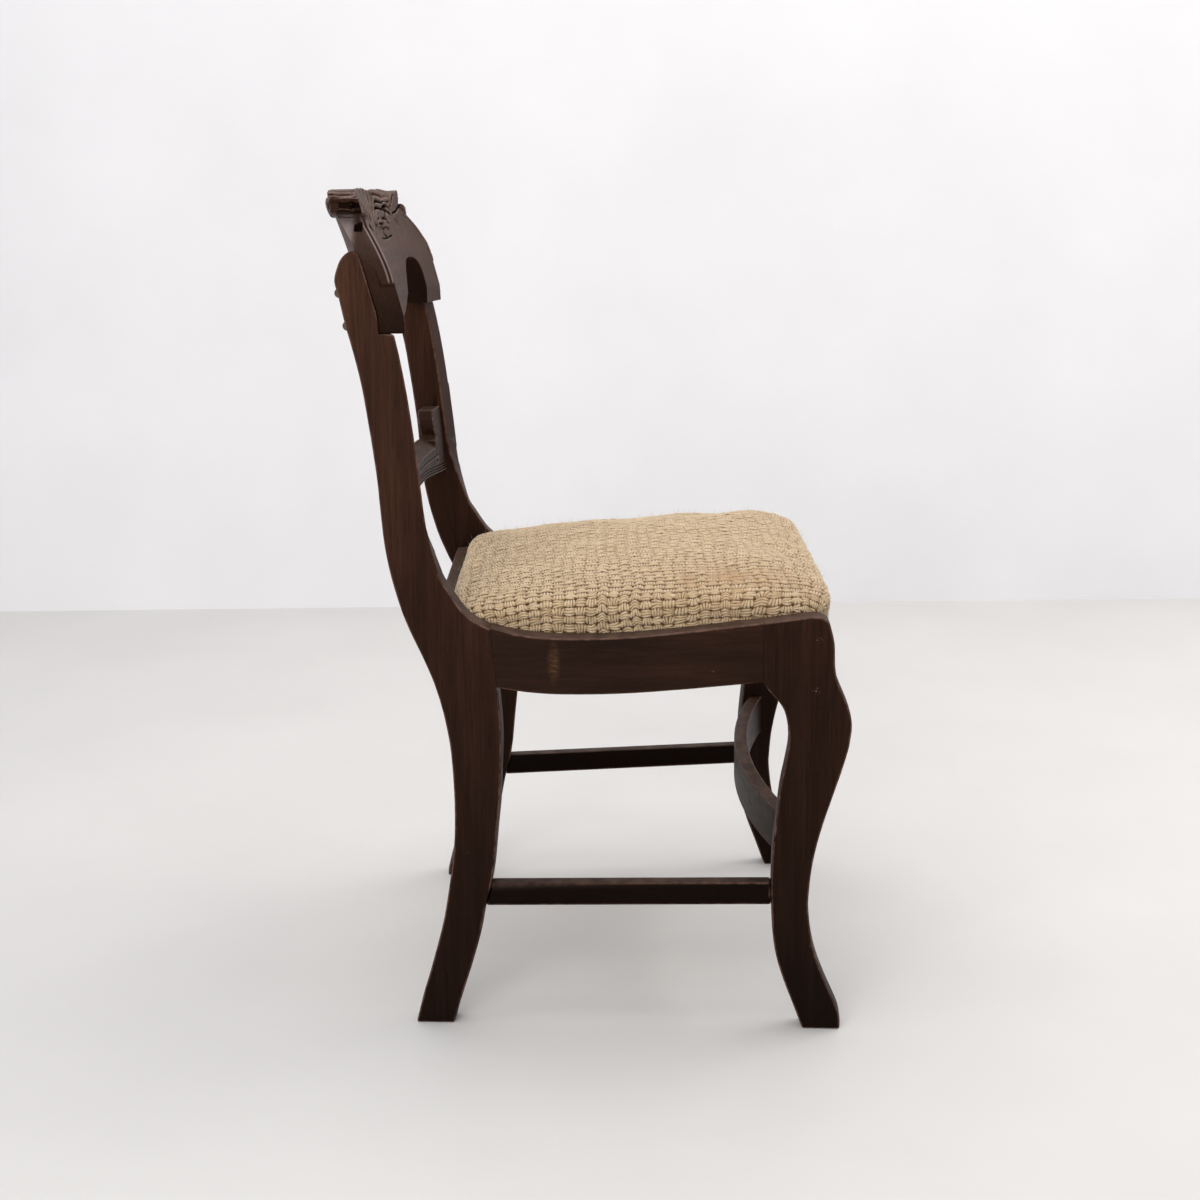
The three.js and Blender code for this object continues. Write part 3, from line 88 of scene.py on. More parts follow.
# Nodes
class Nodes:
    """A material's node tree with short calls for the nodes used here."""

    def __init__(self, name):
        self.material = bpy.data.materials.new(name)
        self.material.use_nodes = True
        self.tree = self.material.node_tree
        self.tree.nodes.clear()
        self.output = self.tree.nodes.new("ShaderNodeOutputMaterial")
        self.shader = self.tree.nodes.new("ShaderNodeBsdfPrincipled")
        self.link(self.shader.outputs["BSDF"], self.output.inputs["Surface"])
        self.place = self.tree.nodes.new("ShaderNodeTexCoord").outputs["Object"]

    def link(self, source, target):
        self.tree.links.new(source, target)

    def set(self, name, value):
        self.put(self.shader.inputs[name], value)

    def put(self, socket, value):
        if isinstance(value, (int, float)):
            socket.default_value = value
        elif isinstance(value, tuple):
            socket.default_value = value if len(value) != 3 or socket.type != "RGBA" else (*value, 1.0)
        else:
            self.link(value, socket)

    def scaled(self, scale, source=None):
        node = self.tree.nodes.new("ShaderNodeMapping")
        self.link(source or self.place, node.inputs["Vector"])
        node.inputs["Scale"].default_value = scale
        return node.outputs["Vector"]

    def noise(self, vector, scale, detail=3.0, roughness=0.55, distortion=0.0):
        node = self.tree.nodes.new("ShaderNodeTexNoise")
        self.link(vector, node.inputs["Vector"])
        node.inputs["Scale"].default_value = scale
        node.inputs["Detail"].default_value = detail
        node.inputs["Roughness"].default_value = roughness
        node.inputs["Distortion"].default_value = distortion
        return node.outputs["Fac"]

    def ramp(self, factor, stops):
        node = self.tree.nodes.new("ShaderNodeValToRGB")
        self.put(node.inputs["Fac"], factor)
        elements = node.color_ramp.elements
        while len(elements) < len(stops):
            elements.new(0.5)
        for element, (position, color) in zip(elements, stops):
            element.position = position
            element.color = (*color, 1.0) if isinstance(color, tuple) else (color, color, color, 1.0)
        return node.outputs["Color"]

    def level(self, value, low, high, to_low=0.0, to_high=1.0):
        node = self.tree.nodes.new("ShaderNodeMapRange")
        self.put(node.inputs["Value"], value)
        for key, number in (("From Min", low), ("From Max", high), ("To Min", to_low), ("To Max", to_high)):
            node.inputs[key].default_value = number
        return node.outputs["Result"]

    def math(self, operation, a, b=0.0):
        node = self.tree.nodes.new("ShaderNodeMath")
        node.operation = operation
        self.put(node.inputs[0], a)
        self.put(node.inputs[1], b)
        return node.outputs[0]

    def vector_math(self, operation, a, b=(0.0, 0.0, 0.0), result="Vector"):
        node = self.tree.nodes.new("ShaderNodeVectorMath")
        node.operation = operation
        self.link(a, node.inputs[0])
        node.inputs[1].default_value = b
        return node.outputs[result]

    def times(self, a, b):
        return self.math("MULTIPLY", a, b)

    def mix(self, factor, a, b, blend="MIX"):
        node = self.tree.nodes.new("ShaderNodeMix")
        node.data_type = "RGBA"
        node.blend_type = blend
        self.put(node.inputs["Factor"], factor)
        self.put(node.inputs["A"], a)
        self.put(node.inputs["B"], b)
        return node.outputs["Result"]

    def attribute(self, name):
        node = self.tree.nodes.new("ShaderNodeAttribute")
        node.attribute_type = "GEOMETRY"
        node.attribute_name = name
        return node.outputs["Fac"]

    def height(self):
        split = self.tree.nodes.new("ShaderNodeSeparateXYZ")
        self.link(self.place, split.inputs[0])
        return split.outputs["Z"]

    def facing_up(self):
        node = self.tree.nodes.new("ShaderNodeNewGeometry")
        split = self.tree.nodes.new("ShaderNodeSeparateXYZ")
        self.link(node.outputs["Normal"], split.inputs[0])
        return split.outputs["Z"]

    def bump(self, height, distance, strength):
        node = self.tree.nodes.new("ShaderNodeBump")
        self.put(node.inputs["Height"], height)
        node.inputs["Distance"].default_value = distance
        node.inputs["Strength"].default_value = strength
        return node.outputs["Normal"]


# Wood
# A noise is its scale, detail, roughness and distortion. A band is where something starts and where it ends.
STAIN_DARK = (0.0125, 0.0046, 0.0026)
STAIN_MIDDLE = (0.0240, 0.0092, 0.0050)
STAIN_LIGHT = (0.0480, 0.0200, 0.0115)
STAIN_STOPS = (0.35, 0.50, 0.72)
# The pore colour is also the colour of dirt and painted shade.
PORE_AND_SHADE_COLOR = (0.0045, 0.0020, 0.0014)
# Worn edges, their colour also a painted highlight along the arrises.
WORN_EDGE_AND_HIGHLIGHT = (0.140, 0.074, 0.054)
# A painted sheen on faces that look up, with a dull wax bloom in it.
PAINTED_TOP_SHEEN = (0.105, 0.064, 0.048)
# A painted highlight on the crest rail's ends and along their arris beads.
PAINTED_END_HIGHLIGHT = (0.200, 0.160, 0.155)
BARE_CHIP = (0.34, 0.22, 0.13)
# Rubbed carved ridges, lightened also as a painted highlight.
CARVED_RIDGE_AND_HIGHLIGHT = (0.185, 0.130, 0.110)
SHEEN_TINT = (1.0, 0.74, 0.62)
# Painted shade and light by height: darker towards the floor, paler towards the top.
FOOT_SHADE, HEAD_SHADE, SHADE_HEIGHT = 0.20, 1.30, 0.75

FINE_STRETCH, FIGURE_STRETCH = 0.035, 0.09
FIGURE_NOISE, FIGURE_SHARE = (34.0, 3.0, 0.55, 0.4), 0.38
STREAK_NOISE, STREAK_SHARE = (260.0, 6.0, 0.72, 0.15), 0.62
PORE_NOISE, PORE_BAND, PORE_MIX = (900.0, 2.0, 0.5), (0.60, 0.68), 0.45
PATCH_NOISE, PATCH_STOPS = (6.0, 2.0, 0.5), [(0.35, 0.80), (0.65, 1.15)]
TOP_SHEEN_NOISE, TOP_SHEEN_BAND, TOP_SHEEN_LEAST = (60.0, 3.0), (0.30, 0.70), 0.3
TOP_SHEEN_FACING = (0.40, 0.95)
WEAR_AND_HIGHLIGHT_NOISE, WEAR_AND_HIGHLIGHT_BAND, WEAR_AND_HIGHLIGHT_MIX = (90.0, 5.0, 0.70), (0.34, 0.64), 0.85
DIRT_AND_SHADE_BAND, DIRT_AND_SHADE_MIX, DIRT_AND_SHADE_SHEEN = (-0.60, -0.05), 0.94, 0.02
GLOSS_BAND, GLOSS_SPAN = (0.30, 0.75), 0.16
STREAK_RELIEF, PORE_RELIEF = 0.35, 0.65
WOOD_BUMP = (0.30 * MM, 0.50)

WEAR_MARKS = (
    ((-0.2314, -0.1242, 0.3798), 0.0050), ((-0.2165, 0.1235, 0.1879), 0.0050),
    ((-0.2376, -0.2279, 0.4128), 0.0120), ((-0.2375, -0.2258, 0.3611), 0.0110),
    ((-0.2373, -0.2220, 0.1090), 0.0090), ((-0.2374, -0.2243, 0.0927), 0.0080),
)
MARK_NOISE, MARK_LIFT, MARK_BAND, MARK_MIX = (620.0, 5.0, 0.75), 0.20, (0.76, 0.80), 0.70
RUB_PLACE, RUB_REACH = (-0.2220, 0.0320, 0.3880), (0.0200, 0.0075, 0.0260)
RUB_COLOR, RUB_MIX, RUB_FADE = (0.125, 0.062, 0.026), 0.75, (0.15, 1.0)
SCRATCH_SCALE, SCRATCH_NOISE, SCRATCH_BAND = (1.0, 0.12, 1.0), (1300.0, 4.0, 0.75), (0.42, 0.66)

PLAIN_STREAK_NOISE, PLAIN_BROAD_NOISE = (240.0, 5.0, 0.65, 0.3), (30.0, 3.0)
PLAIN_STOPS, PLAIN_GLOSS_BAND, PLAIN_ROUGHNESS = (0.35, 0.65), (0.3, 0.7), (0.62, 0.80)
PLAIN_BUMP = (0.3 * MM, 0.4)


def along_grain(grain, stretch):
    """Scales that draw a noise out along one axis."""
    return tuple(stretch if axis == grain else 1.0 for axis in "XYZ")


def marked(n, color):
    """Small bare nicks at set places, and one rubbed streak of fine scratches on a side rail."""
    ragged = n.noise(n.place, *MARK_NOISE)
    for place, radius in WEAR_MARKS:
        near = n.level(n.vector_math("DISTANCE", n.place, place, "Value"), 0.0, radius, MARK_LIFT, 0.0)
        color = n.mix(n.level(n.math("ADD", near, ragged), *MARK_BAND, 0.0, MARK_MIX), color, BARE_CHIP)
    offset = n.vector_math("SUBTRACT", n.place, RUB_PLACE)
    stretched = n.scaled(tuple(1.0 / reach for reach in RUB_REACH), offset)
    rubbed = n.level(n.vector_math("LENGTH", stretched, result="Value"), *RUB_FADE, 1.0, 0.0)
    scratches = n.level(n.noise(n.scaled(SCRATCH_SCALE), *SCRATCH_NOISE), *SCRATCH_BAND)
    rubbed = n.times(rubbed, scratches)
    return n.mix(n.times(rubbed, RUB_MIX), color, RUB_COLOR)


def stain_color(n, grain, painted_light_level, streak, pores):
    """The stain's colour: figure and streaks along the grain and dark pores, scaled by a painted light level,
    with painted shade towards the foot and painted light towards the top.
    """
    figure = n.noise(n.scaled(along_grain(grain, FIGURE_STRETCH)), *FIGURE_NOISE)
    patch = n.noise(n.place, *PATCH_NOISE)
    tone = n.math("ADD", n.times(figure, FIGURE_SHARE), n.times(streak, STREAK_SHARE))
    tints = [tuple(c * painted_light_level for c in tint) for tint in (STAIN_DARK, STAIN_MIDDLE, STAIN_LIGHT)]
    color = n.ramp(tone, list(zip(STAIN_STOPS, tints)))
    color = n.mix(n.times(pores, PORE_MIX), color, PORE_AND_SHADE_COLOR)
    color = n.mix(1.0, color, n.ramp(patch, PATCH_STOPS), "MULTIPLY")
    shade = n.level(n.height(), 0.0, SHADE_HEIGHT, FOOT_SHADE, HEAD_SHADE)
    return n.mix(1.0, color, shade, "MULTIPLY")


def stained_wood(name, grain, painted_light_level=1.0, sheen=0.11, roughness=0.42, top_sheen_reach=0.75, worn_and_highlit=WORN_EDGE_AND_HIGHLIGHT):
    """Dark red-brown stain over open-pored wood, with worn edges that carry a painted highlight, dirt and
    painted shade in hollows, a painted highlight where a mesh marks one, and a painted sheen with a dull wax
    bloom on top faces.
    """
    n = Nodes(name)
    fine = n.scaled(along_grain(grain, FINE_STRETCH))
    streak = n.noise(fine, *STREAK_NOISE)
    pores = n.level(n.noise(fine, *PORE_NOISE), *PORE_BAND)
    color = stain_color(n, grain, painted_light_level, streak, pores)

    # Painted sheen, with a dull wax bloom, on faces that look up, mottled.
    mottle = n.level(n.noise(n.place, *TOP_SHEEN_NOISE), *TOP_SHEEN_BAND, TOP_SHEEN_LEAST * top_sheen_reach, top_sheen_reach)
    painted_sheen = n.times(n.level(n.facing_up(), *TOP_SHEEN_FACING), mottle)
    color = n.mix(painted_sheen, color, PAINTED_TOP_SHEEN)
    # The painted highlight that a carved mesh marks.
    color = n.mix(n.attribute("end_highlight_paint"), color, PAINTED_END_HIGHLIGHT)

    edge = n.attribute("wear_and_painted_light")
    # Worn edges and rubbed ridges, mixed in also as a painted highlight.
    rubbed = n.times(edge, n.level(n.noise(n.place, *WEAR_AND_HIGHLIGHT_NOISE), *WEAR_AND_HIGHLIGHT_BAND))
    color = n.mix(n.times(rubbed, WEAR_AND_HIGHLIGHT_MIX), color, worn_and_highlit)
    # Marks below zero darken with dirt and painted shade: hollows, cuts and recesses.
    color = n.mix(n.level(edge, *DIRT_AND_SHADE_BAND, DIRT_AND_SHADE_MIX, 0.0), color, PORE_AND_SHADE_COLOR)

    n.set("Base Color", marked(n, color))
    n.set("Roughness", n.level(streak, *GLOSS_BAND, roughness, roughness + GLOSS_SPAN))
    # The specular level drops where dirt and painted shade are marked.
    n.set("Specular IOR Level", n.level(edge, *DIRT_AND_SHADE_BAND, DIRT_AND_SHADE_SHEEN, sheen))
    n.set("Specular Tint", SHEEN_TINT)
    raised, sunk = n.times(streak, STREAK_RELIEF), n.times(pores, PORE_RELIEF)
    n.set("Normal", n.bump(n.math("SUBTRACT", raised, sunk), *WOOD_BUMP))
    return n.material


def plain_wood(name, dark, light, grain="X"):
    """Unstained inner wood with a faint grain."""
    n = Nodes(name)
    streak = n.noise(n.scaled(along_grain(grain, FINE_STRETCH)), *PLAIN_STREAK_NOISE)
    broad = n.noise(n.scaled(along_grain(grain, FIGURE_STRETCH)), *PLAIN_BROAD_NOISE)
    tone = n.math("ADD", n.times(broad, 0.5), n.times(streak, 0.5))
    n.set("Base Color", n.ramp(tone, list(zip(PLAIN_STOPS, (dark, light)))))
    n.set("Roughness", n.level(streak, *PLAIN_GLOSS_BAND, *PLAIN_ROUGHNESS))
    n.set("Normal", n.bump(streak, *PLAIN_BUMP))
    return n.material


# Steel and wadding
RUST_NOISE, RUST_BAND, RUST_GLOSS_BAND = (900.0, 4.0, 0.6), (0.48, 0.66), (0.3, 0.7)
RUST_SMOOTHER, RUST_ROUGHER = 0.08, 0.15
METALLIC, METAL_BUMP = 0.85, (0.1 * MM, 0.4)
TUFT_NOISE, TUFT_STOPS = (420.0, 6.0, 0.75, 1.2), [(0.3, (0.42, 0.37, 0.29)), (0.7, (0.75, 0.70, 0.60))]
TUFT_ROUGHNESS, TUFT_BUMP = 0.95, (1.2 * MM, 0.7)


def metal(name, color, roughness, spots):
    """Screw steel with darker oxide spots."""
    n = Nodes(name)
    rust = n.noise(n.place, *RUST_NOISE)
    gloss = n.level(rust, *RUST_GLOSS_BAND, roughness - RUST_SMOOTHER, roughness + RUST_ROUGHER)
    n.set("Base Color", n.mix(n.level(rust, *RUST_BAND), color, spots))
    n.set("Roughness", gloss)
    n.set("Metallic", METALLIC)
    n.set("Normal", n.bump(rust, *METAL_BUMP))
    return n.material


def cotton(name):
    """Matted cotton wadding."""
    n = Nodes(name)
    tuft = n.noise(n.place, *TUFT_NOISE)
    n.set("Base Color", n.ramp(tuft, TUFT_STOPS))
    n.set("Roughness", TUFT_ROUGHNESS)
    n.set("Normal", n.bump(tuft, *TUFT_BUMP))
    return n.material


# Woven cover
# Colour by yarn height is painted light: shadow in holes, shade low between yarns, highlight on the crowns.
YARN_SHADOW = (0.070, 0.040, 0.020)
YARN_DEEP = (0.27, 0.175, 0.088)
YARN_BODY = (0.485, 0.362, 0.222)
YARN_TOP = (0.590, 0.466, 0.308)
YARN_STAIN = (0.40, 0.235, 0.115)
YARN_STOPS = [(0.12, YARN_SHADOW), (0.40, YARN_DEEP), (0.62, YARN_BODY), (0.98, YARN_TOP)]
FUZZ_NOISE, FUZZ_BAND, FUZZ_TONE = (2400.0, 4.0, 0.7, 0.8), (0.25, 0.75), 0.10
LOT_NOISE, LOT_STOPS = (120.0, 3.0, 0.6), [(0.30, (0.80, 0.76, 0.72)), (0.65, (1.06, 1.04, 1.02))]
SPILL_NOISE, SPILL_BAND = (45.0, 3.0), (0.35, 0.65)
YARN_SURFACE = {"Roughness": 0.92, "Specular IOR Level": 0.2, "Sheen Weight": 0.35, "Sheen Roughness": 0.45}
YARN_BUMP = (0.6 * MM, 0.6)


def woven_yarn(name):
    """Thick cream and tan yarn, coloured by height: painted shade between the yarns, a painted highlight on
    their crowns, with twist and fuzz.
    """
    n = Nodes(name)
    fuzz = n.noise(n.place, *FUZZ_NOISE)
    height = n.math("ADD", n.attribute("yarn_height_and_shade"), n.level(fuzz, *FUZZ_BAND, -FUZZ_TONE, FUZZ_TONE))
    lots = n.ramp(n.noise(n.place, *LOT_NOISE), LOT_STOPS)
    color = n.mix(1.0, n.ramp(height, YARN_STOPS), lots, "MULTIPLY")
    blotches = n.level(n.noise(n.place, *SPILL_NOISE), *SPILL_BAND)
    color = n.mix(n.times(n.attribute("seat_stain"), blotches), color, YARN_STAIN)
    n.set("Base Color", color)
    for key, value in YARN_SURFACE.items():
        n.set(key, value)
    n.set("Normal", n.bump(fuzz, *YARN_BUMP))
    return n.material


# Rigid pieces
EDGE_ANGLE = math.radians(32.0)
FLAT_ANGLE = math.radians(0.6)
ROUND_SEGMENTS = 3
UPRIGHT_ROUND, RAIL_ROUND, STRETCHER_ROUND, CROSS_ROUND = 2.2 * MM, 2.0 * MM, 2.5 * MM, 1.6 * MM
WELD = 0.3 * MM
SMALL_FACE = 60.0 * MM * MM
JOINT_BANDS = ((-0.1775, -0.1710), (0.0870, 0.0975))
JOINT_LOW, JOINT_HIGH = 0.352, 0.440


def new_piece(name, mesh, material, replaced):
    """A piece that rides on the chair's one body and replaces nodes of the frame."""
    piece = new_object(name, mesh)
    mesh.materials.clear()
    mesh.materials.append(material)
    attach(piece, "root")
    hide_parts(*replaced)
    return piece


def put_attribute(mesh, name, values):
    """Stores one number for each vertex, for a material to read."""
    layer = mesh.attributes.new(name, "FLOAT", "POINT")
    layer.data.foreach_set("value", values.astype(np.float32))


def in_joint(edge):
    """Whether an edge lies in a glued joint of a side frame, where nothing is rounded over."""
    middle = 0.5 * (edge.verts[0].co + edge.verts[1].co)
    return JOINT_LOW < middle.z < JOINT_HIGH and any(low < middle.y < high for low, high in JOINT_BANDS)


def softened(node, material, width):
    """A copy of a rigid node with its sharp edges rounded over, and the rounded strips marked for wear and a
    painted highlight.
    """
    source = frame["nodes"][node]
    bm = bmesh.new()
    bm.from_mesh(source.data)
    bmesh.ops.remove_doubles(bm, verts=bm.verts, dist=WELD)
    bmesh.ops.dissolve_limit(bm, angle_limit=FLAT_ANGLE, verts=bm.verts, edges=bm.edges)
    sharp = [
        e for e in bm.edges
        if e.is_manifold and e.calc_face_angle(0.0) > EDGE_ANGLE and not in_joint(e)
        and min(f.calc_area() for f in e.link_faces) > SMALL_FACE
    ]
    result = bmesh.ops.bevel(
        bm, geom=sharp, offset=width, offset_type="OFFSET", segments=ROUND_SEGMENTS, profile=0.5,
        affect="EDGES", clamp_overlap=False,
    )
    strips = set(result["faces"])
    worn_and_highlit = {v for f in strips for v in f.verts if all(other in strips for other in v.link_faces)}
    bmesh.ops.triangulate(bm, faces=[f for f in bm.faces if len(f.verts) > 4])
    bm.verts.index_update()
    marks = np.zeros(len(bm.verts))
    for v in worn_and_highlit:
        marks[v.index] = 1.0
    mesh = bpy.data.meshes.new(node + "_wood")
    bm.to_mesh(mesh)
    bm.free()
    mesh.shade_smooth()
    mesh.set_sharp_from_angle(angle=EDGE_ANGLE)
    put_attribute(mesh, "wear_and_painted_light", marks)
    piece = new_piece(node + "_wood", mesh, material, (node,))
    weighted = piece.modifiers.new("even_normals", "WEIGHTED_NORMAL")
    weighted.keep_sharp = True
    return piece


# Carved pieces
CARVING_VOXEL = 0.8 * MM
CARVING_ROUNDS = 3
CONVEX_SPAN = 0.10 * MM
RELAX_SHARES = (0.50, -0.52)
# Shape alone marks ridges for wear and a painted highlight, and hollows for dirt and painted shade.
FLAT_SHAPE_SHARE, LEAST_DIRT_AND_SHADE, RUB_AND_HIGHLIGHT_STRENGTH = 0.12, 0.1, 0.8
FAR_AWAY = 1.0


def dense_copy(node, voxel):
    """A finely and evenly meshed copy of a rigid node."""
    source = frame["nodes"][node]
    work = new_object(node + "_work", source.data.copy())
    remesh = work.modifiers.new("even_mesh", "REMESH")
    remesh.mode = "VOXEL"
    remesh.voxel_size = voxel
    graph = bpy.context.evaluated_depsgraph_get()
    mesh = bpy.data.meshes.new_from_object(work.evaluated_get(graph))
    bpy.data.objects.remove(work)
    return mesh


def read_points(mesh):
    points = np.zeros(len(mesh.vertices) * 3)
    mesh.vertices.foreach_get("co", points)
    return points.reshape(-1, 3)


def read_normals(mesh):
    normals = np.zeros(len(mesh.vertices) * 3)
    mesh.vertex_normals.foreach_get("vector", normals)
    return normals.reshape(-1, 3)


def write_points(mesh, points):
    mesh.vertices.foreach_set("co", points.ravel())
    mesh.update()


def neighbor_means(mesh, points):
    """The mean place of each vertex's neighbours."""
    ends = np.zeros(len(mesh.edges) * 2, int)
    mesh.edges.foreach_get("vertices", ends)
    a, b = ends.reshape(-1, 2).T
    count = len(points)
    degree = np.maximum(np.bincount(a, minlength=count) + np.bincount(b, minlength=count), 1)
    sums = [
        np.bincount(a, weights=points[b, k], minlength=count)
        + np.bincount(b, weights=points[a, k], minlength=count)
        for k in range(3)
    ]
    return np.stack(sums, axis=-1) / degree[:, None]


def relaxed(mesh, rounds):
    """Evens out a mesh without shrinking it."""
    points = read_points(mesh)
    for _ in range(rounds):
        for share in RELAX_SHARES:
            points = points + share * (neighbor_means(mesh, points) - points)
    write_points(mesh, points)


def mark_wear_and_light(mesh, dirt_and_shade, rub_and_highlight):
    """Marks ridges above zero, for wear and a painted highlight, and hollows below it, for dirt and painted
    shade, by shape and by what the carving adds.
    """
    points = read_points(mesh)
    rise = np.einsum("ij,ij->i", points - neighbor_means(mesh, points), read_normals(mesh))
    wear_and_light = np.clip(rise / CONVEX_SPAN, -1.0, 1.0)
    wear_and_light = np.sign(wear_and_light) * np.maximum(np.abs(wear_and_light) - FLAT_SHAPE_SHARE, 0.0) / (1.0 - FLAT_SHAPE_SHARE)
    wear_and_light = np.where(dirt_and_shade > LEAST_DIRT_AND_SHADE, -dirt_and_shade, np.maximum(wear_and_light, RUB_AND_HIGHLIGHT_STRENGTH * rub_and_highlight))
    put_attribute(mesh, "wear_and_painted_light", wear_and_light)


def line_distance(u, v, line):
    """Distance in the (u, v) plane to a line of points in millimetres."""
    nearest = np.full(u.shape, FAR_AWAY)
    for (u0, v0), (u1, v1) in zip(line[:-1], line[1:]):
        start = np.array([u0, v0]) * MM
        run = np.array([u1, v1]) * MM - start
        along = ((u - start[0]) * run[0] + (v - start[1]) * run[1]) / max(run @ run, TINY)
        share = np.clip(along, 0.0, 1.0)
        away = np.hypot(u - start[0] - share * run[0], v - start[1] - share * run[1])
        nearest = np.minimum(nearest, away)
    return nearest


def fade(value, low, high):
    """A smooth rise from 0 at one value to 1 at another."""
    share = np.clip((value - low) / (high - low), 0.0, 1.0)
    return share * share * (3.0 - 2.0 * share)


def dome(offset, half):
    """A parabola that is 1 in the middle and 0 from half its width on."""
    return np.maximum(1.0 - (offset / half) ** 2, 0.0)


def bell(offset, half):
    """A bell curve that is 1 in the middle."""
    return np.exp(-((offset / half) ** 2))


# The carving, as lines of [across, height] in millimetres on the right half, mirrored on the left.
# Each cut is a line with half its width and its depth.
LEAF_EDGE = (
    (0, 797), (14, 799), (24, 806), (40, 801), (58, 800), (76, 797), (92, 799), (104, 804), (116, 811),
    (128, 814),
)
PETAL_CUTS = (
    (((46, 815), (56, 820), (70, 820), (84, 817), (95, 820), (108, 821), (119, 816)), 1.7, 1.6),
    (((58, 823), (70, 827), (84, 826), (96, 824), (108, 827), (121, 823)), 1.5, 1.4),
    (((66, 833), (80, 834), (94, 832), (112, 830)), 1.3, 1.0),
    (((124, 827), (136, 826)), 1.4, 1.3),
    (((124, 821), (137, 821)), 1.4, 1.3),
    (((97, 817), (109, 812)), 2.0, 1.8),
    (((50, 809), (58, 809)), 1.3, 1.3),
    (((69, 809), (84, 808)), 1.3, 1.3),
    (((47, 804), (67, 803)), 1.3, 1.2),
    (((93, 815), (86, 809), (87, 803), (96, 799)), 2.6, 2.2),
    (((73, 799), (70, 794), (78, 790)), 1.7, 1.6),
    (((56, 789), (76, 788), (102, 790)), 1.1, 0.8),
)
EAR_CUTS = (
    (((176, 829), (167, 821), (150, 815), (134, 813)), 1.3, 1.3),
    (((160, 833), (150, 828), (143, 824)), 1.1, 0.8),
)
STEM_CUTS = (
    (((39, 807), (34, 798), (28, 791), (22, 785), (16, 776)), 1.5, 1.4),
    (((20, 807), (17, 800), (13, 794), (6, 785), (3, 778)), 1.5, 1.4),
)
FOLD_CUTS = (
    (((0, 838), (1, 826), (0, 812), (0, 802)), 1.4, 1.4),
    (((29, 842), (26, 834), (18, 824), (7, 815), (4, 809)), 1.8, 1.7),
    (((46, 842), (40, 831), (30, 822), (18, 813)), 1.3, 1.2),
    (((63, 842), (56, 829), (46, 821), (28, 814)), 1.7, 1.6),
)
SHOULDER_BEAD_CUTS = ((((206, 757), (204, 774), (196, 786), (187, 797), (176, 806), (164, 811)), 0.9, 0.5),)
# Cuts darken with dirt and painted shade, and the ridges beside them get rubbing and a painted highlight.
CUT_SPREAD, CUT_DEEPEN, CUT_DIRT_AND_SHADE_BAND = 1.30, 2.4, (0.35, 1.0)
CUT_RUB_AND_HIGHLIGHT_PLACE, CUT_RUB_AND_HIGHLIGHT_REACH = 1.35, 0.30

# The rest of the carving
# Lengths and places are in millimetres. A facing is a band of the normal's size along an axis.
FRONT_FACING, TOP_FACING, RIM_FACING, RIM_SHARE = (0.55, 0.80), (0.70, 0.90), 0.60, 0.95
RIM_HEIGHT = 815.0
OVAL_PLACE, OVAL_SIZE, OVAL_DEPTH = (135, 803), (8.0, 5.5), 1.1
LEAF_RISE, LEAF_SLOPE, LEAF_END = 2.2, 2.2, (118.0, 126.0)
FOLD_BULGE, PETAL_BULGE, BULGE_REACH, FOLD_END = 1.6, 2.2, 3.6, (56.0, 66.0)
# The shoulder bead's groove gets dirt and painted shade.
SHOULDER_BEAD_DIRT_AND_SHADE = 0.5
TERRACES, TERRACE_DROP = (0.0, 60.0, 92.0, 118.0, 138.0, 158.0, 178.0), 1.2
# The foot of each terrace step gets dirt and painted shade, and its lip rubbing and a painted highlight.
TERRACE_WAVES, TERRACE_DIRT_AND_SHADE_BAND, TERRACE_RUB_AND_HIGHLIGHT_BAND = ((3.5, 3.6), (1.5, 1.9)), (1.5, 5.0), (-9.0, -3.0)
SCROLL_PLACE, SCROLL_RADII, SCROLL_HALF, SCROLL_DEPTH = (44.0, 240.0), (3.4, 7.2), 1.3, 1.6

# Painted shade in the recess under each ear's lip.
EAR_FACING, EAR_SPAN, EAR_RECESS_LOW, RECESS_SHADE = (0.30, 0.55), (158.0, 162.0), (825.0, 827.5), 0.85
EAR_LIP_HEIGHT, EAR_LIP_DEPTH, EAR_LIP_FADE = 833.6, 1.8, 1.2
EAR_LIP_WAVE, EAR_LIP_WAVE_LENGTH = 0.5, 2.6
EAR_STEP_PLACE, EAR_STEP, EAR_STEP_FADE = 219.0, 1.6, 5.0
EAR_SHADE_LOW, EAR_SHADE = (808.0, 815.0), 0.38
EAR_BACK, EAR_BACK_LIFT = (229.0, 233.0), 0.85

END_START, FLANK_FACING, SIDE_FACING = 150.0, 0.4, (0.25, 0.55)
LEVEL_STEP, LEVEL_REACH = 2.0, 4
ARRIS_BEAD_PLACE, ARRIS_BEAD_HALF, ARRIS_BEAD_DEPTH, ARRIS_BEAD_DIRT_AND_SHADE = 3.0, 1.2, 1.3, 0.45
ARRIS_BEAD_LOW, ARRIS_BEAD_HIGH, ARRIS_BEAD_FADE = 757.0, 812.0, 4.0
# Painted highlight along the arris bead's sides, painted shade in its groove.
ARRIS_HIGHLIGHT_PLACE, ARRIS_HIGHLIGHT_REACH, ARRIS_HIGHLIGHT_MIX = 2.0, 0.8, 0.8
# Painted highlight high on the back part of each end.
END_HIGHLIGHT_BACK, END_HIGHLIGHT_ABOVE, END_HIGHLIGHT_BELOW, END_HIGHLIGHT_MIX = (212.0, 223.0), (725.0, 765.0), (816.0, 825.0), 0.85
# Painted shade on the sides of the ends, darker lower down.
SHADE_BELOW, WING_SHADE = (715.0, 805.0), (0.28, 0.50)
